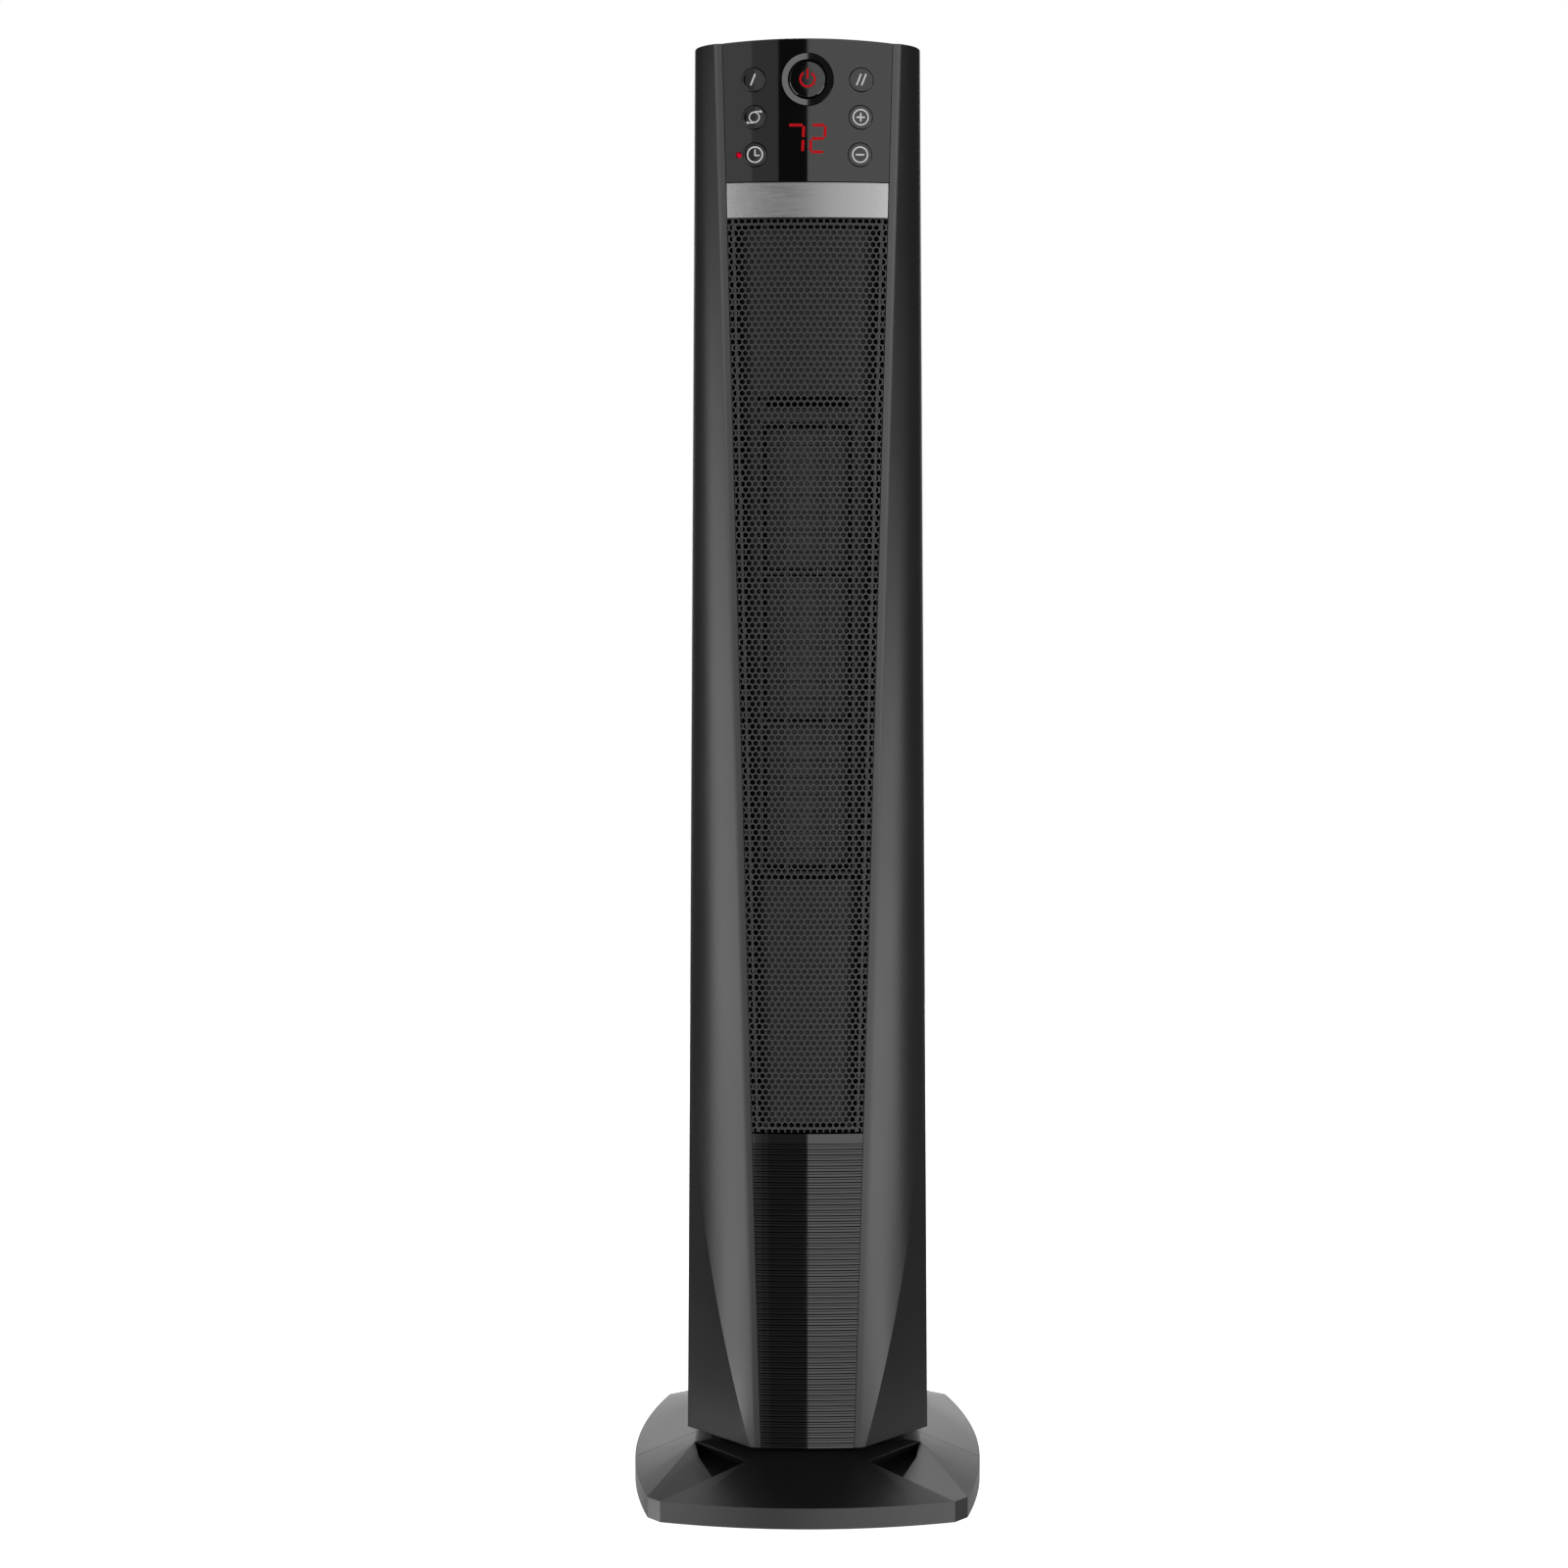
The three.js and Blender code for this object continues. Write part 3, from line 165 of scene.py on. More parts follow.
# Left, right, bottom, top and brightness of each card on the wall in front
FRONT_CARDS = {
    "front_right": (0, 0.95, -0.1, CARDS_HIGH, 1.65),
    "front_right_low": (0, 0.95, -0.73, -0.1, 2.25),
    "front_right_foot": (0, 0.6, -1.2, -0.73, 2.1),
    "front_right_rim": (0.6, 0.95, CARDS_LOW, -0.73, 0.8),
    "front_right_wide": (0.95, 2.7, CARDS_LOW, 0.7, 2.9),
    "front_right_high": (0.95, 2.7, 0.7, 1.9, 3.7),
    "front_left_near": (-0.546, -0.283, 0.25, CARDS_HIGH, 0.6),
    "front_left_edge": (-0.535, -0.47, CARDS_LOW, 0.15, 0.5),
    "front_left_fade": (-0.47, -0.4, CARDS_LOW, 0.15, 0.32),
    "front_left_faint": (-0.4, 0, CARDS_LOW, 0.15, 0.18),
    "front_left": (-1.0, -0.546, 0.25, CARDS_HIGH, 1.05),
    "front_left_low": (-1.0, -0.535, CARDS_LOW, 0.25, 1.2),
    "front_left_wide": (-2.7, -1.0, CARDS_LOW, 0.7, 2.2),
    "front_left_high": (-2.7, -1.0, 0.7, 1.9, 3.3),
}
# Side, front, back, bottom, top and brightness of each card that stands along the object's side
SIDE_CARDS = {
    "side_left": (-1, -1.3, 0.35, -0.38, 0.78, 2.95),
    "side_left_low": (-1, -1.3, -0.05, -1.5, -0.38, 3.1),
    "side_right": (1, -1.3, 0.12, -0.38, 0.42, 3.3),
    "side_right_low": (1, -1.3, -0.3, -1.4, -0.38, 3.3),
}
# Name, middle, width, height, direction and brightness of each other card
OTHER_CARDS = [
    ("base_left", (-0.19, -0.125, -0.045), 0.1, 0.07, (1, -0.1, 0.35), 3.2),
    ("back", (0, 1.8, 0.35), 1.6, 1.7, (0, -1, 0), 1.25),
    ("back_low", (-0.85, 1.8, -0.75), 0.9, 0.5, (0, -1, 0), 0.62),
    ("back_low", (0.85, 1.8, -0.75), 0.9, 0.5, (0, -1, 0), 0.62),
    ("back_high", (0.5, 1.8, 1.5), 0.6, 0.5, (-0.2, -1, -0.7), 3.4),
    ("overhead", (0, 1.15, 2.2), 2.0, 1.3, (0, -0.4, -1), 1.7),
]
BACKDROP_LIGHT = 0.05


# Objects and meshes

def as_mesh(bm, name):
    """The shape as a mesh; the shape itself is freed."""
    mesh = bpy.data.meshes.new(name)
    bm.to_mesh(mesh)
    bm.free()
    return mesh


def placed(name, data):
    thing = bpy.data.objects.new(name, data)
    bpy.context.scene.collection.objects.link(thing)
    return thing


# Camera, light and floor

def add_camera():
    data = bpy.data.cameras.new("camera")
    data.sensor_width = SENSOR_WIDTH
    data.lens = LENS
    data.shift_x = LENS_SHIFT
    camera = placed("camera", data)
    camera.location = CAMERA_PLACE
    camera.rotation_euler = (math.radians(90 - CAMERA_TILT), 0, 0)
    bpy.context.scene.camera = camera


def add_card(name, middle, width, height, direction, brightness):
    data = bpy.data.lights.new(name, "AREA")
    data.shape = "RECTANGLE"
    data.size, data.size_y = width, height
    data.energy = brightness * width * height * math.pi
    card = placed(name, data)
    card.location = middle
    card.rotation_euler = Vector(direction).to_track_quat("-Z", "Y").to_euler()
    card.visible_camera = False


def add_cards():
    for name, (left, right, low, high, brightness) in FRONT_CARDS.items():
        middle = ((left + right) / 2, -FRONT_DISTANCE, (low + high) / 2)
        add_card(name, middle, right - left, high - low, (0, 1, 0), brightness)
    for name, (side, front, back, low, high, brightness) in SIDE_CARDS.items():
        middle = (side * SIDE_DISTANCE, (front + back) / 2, (low + high) / 2)
        add_card(name, middle, back - front, high - low, (-side, 0, 0), brightness)
    for card in OTHER_CARDS:
        add_card(*card)


def add_backdrop():
    """A white surround that only the camera sees at full strength."""
    world = bpy.data.worlds.new("studio")
    world.use_nodes = True
    tree = world.node_tree
    backdrop = tree.nodes["Background"]
    seen = add_node(tree, "ShaderNodeLightPath", output="Is Camera Ray")
    strength = add_node(tree, "ShaderNodeMapRange", {}, {"Value": seen, "To Min": BACKDROP_LIGHT, "To Max": 1.0})
    tree.links.new(strength.socket, backdrop.inputs["Strength"])
    backdrop.inputs["Color"].default_value = (1, 1, 1, 1)
    bpy.context.scene.world = world
    bpy.context.scene.view_settings.view_transform = "Standard"


def add_floor(material):
    """A level floor that shows itself to the camera alone."""
    bm = bmesh.new()
    bmesh.ops.create_grid(bm, x_segments=1, y_segments=1, size=FLOOR_HALF)
    floor = placed("floor", as_mesh(bm, "floor"))
    floor.data.materials.append(material)
    floor.visible_glossy = floor.visible_diffuse = floor.visible_shadow = False


# Shader maths

class Signal:
    """A number or colour in a material's node tree; arithmetic on it adds Math nodes."""

    def __init__(self, tree, socket):
        self.tree, self.socket = tree, socket

    def math(self, operation, *values):
        return add_node(self.tree, "ShaderNodeMath", {"operation": operation}, dict(enumerate(values)))

    def __add__(self, other):
        return self.math("ADD", self, other)

    def __radd__(self, other):
        return self.math("ADD", other, self)

    def __mul__(self, other):
        return self.math("MULTIPLY", self, other)

    def __rmul__(self, other):
        return self.math("MULTIPLY", other, self)


def add_node(tree, kind, settings=None, values=None, output=0):
    """Adds any node: first its settings, then the values or links of its sockets. Returns one output."""
    node = tree.nodes.new(kind)
    for name, value in (settings or {}).items():
        setattr(node, name, value)
    for name, value in (values or {}).items():
        if isinstance(value, Signal):
            tree.links.new(value.socket, node.inputs[name])
        else:
            node.inputs[name].default_value = value
    return Signal(tree, node.outputs[output])


class Finish:
    """One material: its Principled shader, with helpers for the textures that feed it.

    The constants are named after the shader's sockets, as in specular_ior_level.
    """

    def __init__(self, name, **constants):
        self.material = bpy.data.materials.new(name)
        self.material.use_nodes = True
        self.tree = self.material.node_tree
        self.shader = self.tree.nodes["Principled BSDF"]
        for key, value in constants.items():
            self.shader.inputs[key.replace("_", " ").title().replace("Ior", "IOR")].default_value = value
        self.place = add_node(self.tree, "ShaderNodeTexCoord", output="Object")

    def feed(self, socket, signal):
        self.tree.links.new(signal.socket, self.shader.inputs[socket])

    def noise(self, scale, detail=2, roughness=0.5, stretch=(1, 1, 1)):
        place = add_node(self.tree, "ShaderNodeMapping", {}, {"Vector": self.place, "Scale": stretch})
        return add_node(self.tree, "ShaderNodeTexNoise", {},
                        {"Vector": place, "Scale": scale, "Detail": detail, "Roughness": roughness})

    def ranged(self, signal, low, high, start=0.0, end=1.0):
        return add_node(self.tree, "ShaderNodeMapRange", {},
                        {"Value": signal, "From Min": start, "From Max": end, "To Min": low, "To Max": high})

    def mixed(self, share, first, second):
        values = {0: share, 6: first, 7: second}
        return add_node(self.tree, "ShaderNodeMix", {"data_type": "RGBA"}, values, output=2)

    def coloured(self, signal, shade, low, high, warmth=0.0):
        """The colour is the shade times low where the signal is 0, and times high where it is 1."""
        self.feed("Base Color", self.mixed(signal, tint(shade * low, warmth), tint(shade * high, warmth)))

    def bumped(self, height, depth):
        """depth is the height in metres of a full step of the texture."""
        self.feed("Normal", add_node(self.tree, "ShaderNodeBump", {}, {"Height": height, "Distance": depth}))


def tint(shade, warmth=0.0):
    return (shade * (1 + warmth), shade, shade * (1 - warmth), 1)


def moulded(name, shade, roughness, grain=0.00006, scale=2600, warmth=0.0, **constants):
    """Moulded plastic with a fine spark grain, faint clouding and uneven sheen."""
    finish = Finish(name, roughness=roughness, **constants)
    cloud = finish.noise(9, 3)
    grains = finish.noise(scale, 1)
    finish.coloured(finish.ranged(cloud, 0, 1, 0.3, 0.7), shade, 0.94, 1.06, warmth)
    uneven = cloud * 0.6 + grains * 0.4
    finish.feed("Roughness", finish.ranged(uneven, roughness - 0.05, roughness + 0.05, 0.3, 0.7))
    finish.bumped(grains, grain)
    return finish.material


def polished(name, shade, **constants):
    """Polished plastic: nearly flawless, with faint smears where it is touched."""
    clean, smeared = 0.035, 0.085
    finish = Finish(name, roughness=clean, **constants)
    smears = finish.noise(38, 4, 0.6, (1, 1, 0.4))
    finish.coloured(finish.noise(6, 1), shade, 0.9, 1.1)
    finish.feed("Roughness", finish.ranged(smears, clean, smeared, 0.5, 0.85))
    finish.bumped(finish.noise(60, 1), 0.000004)
    return finish.material


def metal(name, shade, roughness, stretch, depth=0.00001, scale=900):
    """Metal with fine drawn lines along the direction in which stretch is small."""
    finish = Finish(name, metallic=1.0, roughness=roughness)
    lines = finish.noise(scale, 3, 0.6, stretch)
    finish.coloured(lines, shade, 0.9, 1.08)
    finish.feed("Roughness", finish.ranged(lines, roughness - 0.05, roughness + 0.07, 0.3, 0.7))
    finish.bumped(lines, depth)
    return finish.material


def painted_sheet(name, shade, roughness, **constants):
    """Stoved paint on a pressed sheet, with a soft orange peel."""
    finish = Finish(name, roughness=roughness, **constants)
    peel = finish.noise(700, 2)
    finish.coloured(finish.noise(12, 2), shade, 0.92, 1.08)
    finish.feed("Roughness", finish.ranged(peel, roughness - 0.06, roughness + 0.06, 0.3, 0.7))
    finish.bumped(peel, 0.00002)
    return finish.material


def glowing(name, *colour):
    """A lit mark under a clear face, with a slight unevenness."""
    unlit, dim, bright = [tuple(channel * share for channel in colour) + (1,) for share in (0.1, 0.85, 1)]
    finish = Finish(name, roughness=0.5, base_color=unlit, emission_strength=1.0, specular_ior_level=0.02)
    uneven = finish.ranged(finish.noise(1800, 1), 0, 1, 0.3, 0.7)
    finish.feed("Emission Color", finish.mixed(uneven, dim, bright))
    return finish.material


def printed(name, shade):
    """Printed ink, very slightly broken."""
    finish = Finish(name, roughness=0.45)
    finish.coloured(finish.noise(3000, 1), shade, 0.85, 1)
    return finish.material


def board(name):
    """Solder resist with copper tracks showing through."""
    finish = Finish(name, roughness=0.35)
    tracks = add_node(finish.tree, "ShaderNodeTexBrick", {}, {
        "Vector": finish.place, "Scale": 180.0, "Mortar Size": 0.012,
        "Color1": (0.02, 0.09, 0.045, 1), "Color2": (0.025, 0.11, 0.05, 1), "Mortar": (0.06, 0.2, 0.09, 1)})
    finish.feed("Base Color", tracks)
    finish.bumped(finish.noise(800, 2), 0.00002)
    return finish.material


def pale_floor(name):
    """Matt paper that is lit evenly from within."""
    finish = Finish(name, roughness=0.9, emission_color=(1, 1, 1, 1), emission_strength=1.0)
    finish.coloured(finish.noise(3, 2), 1, 0.86, 0.9)
    return finish.material


# The finish of each slot, and some finer ones that a piece asks for by name
FINISHES = {
    "satin_black": moulded("satin_black", 0.008, 0.34, 0.00002),
    "soft_black": moulded("soft_black", 0.012, 0.55, 0.00005),
    "gloss_black": polished("gloss_black", 0.001),
    "bezel_black": polished("bezel_black", 0.002, ior=1.78),
    "grille_black": painted_sheet("grille_black", 0.022, 0.42, specular_ior_level=0.33),
    # A near-black finish that reflects almost nothing: painted shade for the sheet behind the outlet frame
    "painted_shade_black": moulded("painted_shade_black", 0.002, 0.95, specular_ior_level=0.02),
    "inner_plate": moulded("inner_plate", 0.013, 0.5, specular_ior_level=0.33),
    "silver": metal("silver", 0.238, 0.29, (0.015, 1, 1), 0.0000001, 1700),
    "steel": metal("steel", 0.45, 0.35, (1, 1, 0.1)),
    "heater_alloy": painted_sheet("heater_alloy", 0.02, 0.5),
    "rubber": moulded("rubber", 0.02, 0.8, 0.0001, 1400),
    "nylon": moulded("nylon", 0.6, 0.45, 0.00003, 900, 0.05),
    "board_green": board("board_green"),
    "button_ink": printed("button_ink", 0.44),
    "lit_red": glowing("lit_red", 0.39, 0.005, 0.009),
    "red_lamp": glowing("lamp_red", 0.52, 0.001, 0.022),
}


# Shape helpers

def lerp(a, b, t):
    return a + (b - a) * t


def mirrored(points):
    """The points of an outline's right half, repeated backwards on the left."""
    return [(-x, y) for x, y in reversed(points)]


def runs_back(edge):
    """Tells the edges that run from front to back."""
    return abs(edge.verts[0].co.y - edge.verts[1].co.y) > 0.01


def add_sheet(bm, columns, rows, place):
    """A grid of faces in which each corner is moved to place(u, v), with u and v from 0 to 1."""
    for corner in bmesh.ops.create_grid(bm, x_segments=columns, y_segments=rows, size=0.5)["verts"]:
        corner.co = Vector(place(corner.co.x + 0.5, corner.co.y + 0.5))


def walled(columns, rows, place, thickness):
    """A closed wall between two sheets, place(u, v, 0) and place(u, v, thickness)."""
    bm = bmesh.new()
    for inset in (0, thickness):
        add_sheet(bm, columns, rows, lambda u, v: place(u, v, inset))
    bmesh.ops.bridge_loops(bm, edges=[edge for edge in bm.edges if edge.is_boundary])
    bmesh.ops.recalc_face_normals(bm, faces=bm.faces)
    return bm


def bevelled(bm, width, segments=2, limit=30, where=lambda edge: True):
    """Rounds the edges that turn by more than the limit."""
    sharp = [edge for edge in bm.edges
             if edge.is_manifold and edge.calc_face_angle(0) > math.radians(limit) and where(edge)]
    bmesh.ops.bevel(bm, geom=sharp, offset=width, offset_type="OFFSET", segments=segments, profile=0.5,
                    affect="EDGES", clamp_overlap=True, material=-1)
    return bm


def block(low, high, width=0.0, segments=2):
    bm = bmesh.new()
    size = Vector(high) - Vector(low)
    bmesh.ops.create_cube(bm, size=1)
    bmesh.ops.scale(bm, vec=size, verts=bm.verts)
    bmesh.ops.translate(bm, vec=(Vector(high) + Vector(low)) / 2, verts=bm.verts)
    return bevelled(bm, width, segments) if width else bm


def turned(profile, steps, axis="Z", closed=False, angle=math.tau):
    """A shape turned about an axis from (radius, distance along it) pairs.

    The profile starts and ends on the axis, or else it closes on itself.
    """
    bm = bmesh.new()
    to_point = {"Z": lambda r, d: (r, 0, d), "Y": lambda r, d: (r, d, 0)}[axis]
    points = [bm.verts.new(to_point(r, d)) for r, d in profile]
    lines = [bm.edges.new(pair) for pair in zip(points, points[1:])]
    if closed:
        lines.append(bm.edges.new((points[-1], points[0])))
    spin_axis = (0, 0, 1) if axis == "Z" else (0, 1, 0)
    full = angle == math.tau
    bmesh.ops.spin(bm, geom=points + lines, cent=(0, 0, 0), axis=spin_axis, dvec=(0, 0, 0), angle=angle,
                   steps=steps, use_merge=full, use_duplicate=False)
    bmesh.ops.remove_doubles(bm, verts=bm.verts, dist=0.0001)
    if not full:
        bmesh.ops.holes_fill(bm, edges=[edge for edge in bm.edges if edge.is_boundary], sides=0)
    bmesh.ops.recalc_face_normals(bm, faces=bm.faces)
    return bm


def rod(radius, near, far, steps, axis="Y"):
    """A round bar between two places on an axis."""
    return turned([(0, near), (radius, near), (radius, far), (0, far)], steps, axis)


def corners_in(items):
    return [item for item in items if isinstance(item, bmesh.types.BMVert)]


def extruded(bm, faces, move):
    raised = bmesh.ops.extrude_face_region(bm, geom=faces)["geom"]
    bmesh.ops.translate(bm, vec=move, verts=corners_in(raised))
    bmesh.ops.recalc_face_normals(bm, faces=bm.faces)
    return bm


def plate(outline, low, high):
    """An upright slab over a plan outline."""
    bm = bmesh.new()
    face = bm.faces.new([bm.verts.new((x, y, low)) for x, y in outline])
    return extruded(bm, [face], (0, 0, high - low))


def hull(points):
    bm = bmesh.new()
    corners = [bm.verts.new(point) for point in points]
    result = bmesh.ops.convex_hull(bm, input=corners)
    bmesh.ops.delete(bm, geom=corners_in(result["geom_interior"]), context="VERTS")
    bmesh.ops.dissolve_limit(bm, angle_limit=math.radians(0.05), verts=bm.verts, edges=bm.edges)
    bmesh.ops.recalc_face_normals(bm, faces=bm.faces)
    return bm


def shifted(bm, move=(0, 0, 0), turn=0.0, axis="Z"):
    bmesh.ops.rotate(bm, verts=bm.verts, cent=(0, 0, 0), matrix=Matrix.Rotation(turn, 3, axis))
    bmesh.ops.translate(bm, vec=move, verts=bm.verts)
    return bm


def sliced(bm, point, outward, **options):
    """Cuts every face at a plane, and with clear_outer takes away what lies outside."""
    bmesh.ops.bisect_plane(bm, geom=bm.verts[:] + bm.edges[:] + bm.faces[:], plane_co=point,
                           plane_no=outward, **options)


def merged(*parts):
    """One mesh from several, which are freed."""
    whole = bmesh.new()
    for part in parts:
        mesh = as_mesh(part, "part")
        whole.from_mesh(mesh)
        bpy.data.meshes.remove(mesh)
    return whole


def carved(bm, *cutters):
    """The shape with each cutter's volume taken away."""
    target = placed("target", as_mesh(bm, "target"))
    tools = [placed("cutter", as_mesh(cutter, "cutter")) for cutter in cutters]
    for tool in tools:
        cut = target.modifiers.new("cut", "BOOLEAN")
        cut.operation, cut.solver, cut.object = "DIFFERENCE", "EXACT", tool
    graph = bpy.context.evaluated_depsgraph_get()
    result = bmesh.new()
    result.from_mesh(target.evaluated_get(graph).to_mesh())
    for thing in [target, *tools]:
        mesh = thing.data
        bpy.data.objects.remove(thing)
        bpy.data.meshes.remove(mesh)
    bmesh.ops.remove_doubles(result, verts=result.verts, dist=0.0005)
    return result


def finished(bm, name, body, slot, replaced=(), finish=None, crease=30, normal_at=None):
    """Turns a shape in millimetres into a piece in metres that rides on a body.

    The finish is the slot's own unless another is named.
    """
    bmesh.ops.scale(bm, vec=(MM, MM, MM), verts=bm.verts)
    mesh = as_mesh(bm, name)
    piece = placed(name, mesh)
    mesh.polygons.foreach_set("use_smooth", [True] * len(mesh.polygons))
    mesh.set_sharp_from_angle(angle=math.radians(crease))
    if normal_at:
        normals = [Vector(corner.vector) for corner in mesh.corner_normals]
        for face in mesh.polygons:
            if face.normal.dot(normal_at(face.center / MM)) > FRONT_LIKENESS:
                for corner in face.loop_indices:
                    place = mesh.vertices[mesh.loops[corner].vertex_index].co / MM
                    normals[corner] = normal_at(place)
        mesh.normals_split_custom_set(normals)
    mesh.materials.append(FINISHES[finish or slot])
    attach(piece, body)
    if replaced:
        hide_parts(*replaced)


# Column section

def height_share(z):
    return (z - COLUMN_BOTTOM) / COLUMN_HEIGHT


def panel_half(z):
    return lerp(PANEL_FOOT_HALF, PANEL_HEAD_HALF, height_share(z))


def front_y(z):
    rise = min(1, max(0, (z - COLUMN_BOTTOM) / LEAN_HEIGHT))
    return -FRONT + LEAN * (1 - rise) ** 2


def across(z, u):
    """A place from the panel's left edge to its right as u goes from 0 to 1."""
    return lerp(-panel_half(z), panel_half(z), u)


def front_at(x, z):
    return front_y(z) + x * x / (2 * CURVE_RADIUS)


def front_normal(place):
    """The outward direction of the curved front, leaning where the column leans."""
    slope = (front_y(place.z + 1) - front_y(place.z - 1)) / 2
    return Vector((place.x / CURVE_RADIUS, -1, slope)).normalized()


def crown_at(x):
    share = min(1, abs(x) / PANEL_HEAD_HALF)
    return COLUMN_TOP - CROWN_DROP * share * share


def cheek_point(start, end, bulge, u):
    chord = Vector(end) - Vector(start)
    outward = Vector((chord.y, -chord.x)).normalized() * bulge
    middle = (Vector(start) + Vector(end)) / 2 + outward
    return Vector(start) * (1 - u) ** 2 + middle * (2 * u * (1 - u)) + Vector(end) * u * u


def rear_point(z, share, inset):
    angle = share * math.pi / 2
    half = lerp(FOOT_HALF, HEAD_HALF, height_share(z)) - inset
    return half * abs(math.cos(angle)) ** SQUARENESS, (BACK - inset) * math.sin(angle) ** SQUARENESS


@functools.lru_cache(maxsize=None)
def shell_line(z, inset):
    """The right side in plan at one level, from the front seam round to the seam with the rear cover."""
    share = height_share(z)
    panel_x = panel_half(z)
    strip_x = panel_x + lerp(STRIP_FOOT, STRIP_HEAD, share)
    strip = Vector((strip_x - inset * STRIP_INSET_SHARE, front_at(strip_x, z) + inset))
    corner_y = -lerp(CORNER_FOOT, CORNER_HEAD, share) + inset * CORNER_INSET_SHARE
    corner = Vector((lerp(FOOT_HALF, HEAD_HALF, share) - inset, corner_y))
    bulge = lerp(BULGE_FOOT, BULGE_HEAD, share)
    crease = min(CREASE_SHARE, FACET_FOOT_SHARE + (z - COLUMN_BOTTOM) / FACET_HEIGHT)
    start = Vector((panel_x + SEAM, front_at(panel_x + SEAM, z) + inset))
    cheek = [cheek_point(strip, corner, bulge, crease * i / CHEEK_STEPS) for i in range(1, CHEEK_STEPS + 1)]
    before = strip + (start - strip).normalized() * EDGE_SOFTNESS
    after = strip + (cheek[0] - strip).normalized() * min(EDGE_SOFTNESS, (cheek[0] - strip).length * 0.5)
    rear = [Vector(rear_point(z, PARTING_SHARE * i / REAR_STEPS, inset)) for i in range(1, REAR_STEPS + 1)]
    line = [start, (start + before) / 2]
    for t in (0, 0.25, 0.5, 0.75, 1):
        line.append(before * (1 - t) ** 2 + strip * (2 * t * (1 - t)) + after * t * t)
    line += [*cheek, (cheek[-1] + corner) / 2, corner, *rear]
    return [(point.x, point.y) for point in line]


def level_shares():
    """Heights of the wall's rows as shares of the column's height."""
    facet, lean = FACET_HEIGHT / COLUMN_HEIGHT, LEAN_HEIGHT / COLUMN_HEIGHT
    shares = [facet * i / FACET_ROWS for i in range(FACET_ROWS)]
    shares += [lerp(facet, lean, i / LEAN_ROWS) for i in range(LEAN_ROWS)]
    return shares + [lerp(lean, 1, i / UPPER_ROWS) for i in range(UPPER_ROWS + 1)]


def clear_of_panel(edge):
    """Tells the edges beside the front panel from the others, because those stay crisp."""
    return any(abs(corner.co.x) > panel_half(corner.co.z) + 1 or corner.co.y > 0 for corner in edge.verts)


def side_shell(side):
    shares = level_shares()
    count = len(shell_line(COLUMN_BOTTOM, 0)) - 1

    def place(u, v, inset):
        share = shares[round(v * (len(shares) - 1))]
        x, y = shell_line(COLUMN_BOTTOM + COLUMN_HEIGHT * share, inset)[round(u * count)]
        return side * x, y, lerp(COLUMN_BOTTOM, crown_at(x), share)

    return bevelled(walled(count, len(shares) - 1, place, WALL), SHELL_ROUNDING, 2, 60, clear_of_panel)


# Back and head of the column

def rear_line(z, inset, steps=22):
    start = PARTING_SHARE + SEAM / BACK
    right = [rear_point(z, lerp(start, 1, i / steps), inset) for i in range(steps + 1)]
    return right + mirrored(right[:-1])


def slot_cutter(x, top):
    half = SLOT_WIDTH / 2
    cutter = block((x - half, BACK / 2, top - SLOT_HEIGHT), (x + half, BACK + OVERRUN, top))
    return bevelled(cutter, SLOT_HEIGHT * SLOT_ROUNDING_SHARE, 4, 30, runs_back)


def rear_cover():
    count, rows = len(rear_line(COLUMN_BOTTOM, 0)) - 1, 8

    def place(u, v, inset):
        x, y = rear_line(COLUMN_BOTTOM + COLUMN_HEIGHT * v, inset)[round(u * count)]
        return x, y, lerp(COLUMN_BOTTOM, crown_at(x), v)

    bm = bevelled(walled(count, rows, place, WALL), SHELL_ROUNDING, 2, 60)
    slots = [slot_cutter(side * SLOT_SPACING / 2, SLOT_TOP - row * SLOT_PITCH)
             for row in range(SLOT_ROWS) for side in (-1, 1)]
    half = HANDLE_WIDTH / 2
    window = block((-half, BACK / 2, HANDLE_TOP - HANDLE_HEIGHT), (half, BACK + OVERRUN, HANDLE_TOP))
    bevelled(window, HANDLE_ROUNDING, 5, 30, runs_back)
    return carved(bm, merged(*slots), window)


def carry_cup():
    """The recess behind the window: an open box with rounded edges."""
    low = (-HANDLE_WIDTH / 2 - WALL, BACK - HANDLE_DEPTH - WALL, HANDLE_TOP - HANDLE_HEIGHT - WALL)
    high = (HANDLE_WIDTH / 2 + WALL, BACK - WALL - SEAT, HANDLE_TOP + WALL)
    inner_low, inner_high = [v + WALL for v in low], (high[0] - WALL, BACK + OVERRUN, high[2] - WALL)
    return carved(block(low, high, CUP_ROUNDING, 4), block(inner_low, inner_high, CUP_INNER_ROUNDING, 4))


def louvres():
    """Slanted blades behind the intake slots."""
    half = Vector((SLOT_SPACING, BLADE_THICKNESS / 2, BLADE_WIDTH / 2))
    blades = []
    for row in range(SLOT_ROWS + 1):
        place = (0, BACK - BLADE_SETBACK, SLOT_TOP - row * SLOT_PITCH + BLADE_RISE)
        blades.append(shifted(block(-half, half, BLADE_ROUNDING), place, math.radians(BLADE_TURN), "X"))
    return merged(*blades)


def cap_outline(steps=24):
    inset = WALL + SEAT
    side = shell_line(COLUMN_TOP, inset)[STRIP_STEPS:]
    rear = [rear_point(COLUMN_TOP, lerp(PARTING_SHARE, 1, i / steps), inset) for i in range(1, steps + 1)]
    half = side + rear
    front = [(lerp(-PANEL_HEAD_HALF, PANEL_HEAD_HALF, i / steps), -FRONT) for i in range(1, steps)]
    whole = half + mirrored(half[:-1]) + front
    return [(x, max(y, front_at(x, COLUMN_TOP) + PANEL_THICKNESS + SEAM)) for x, y in whole]


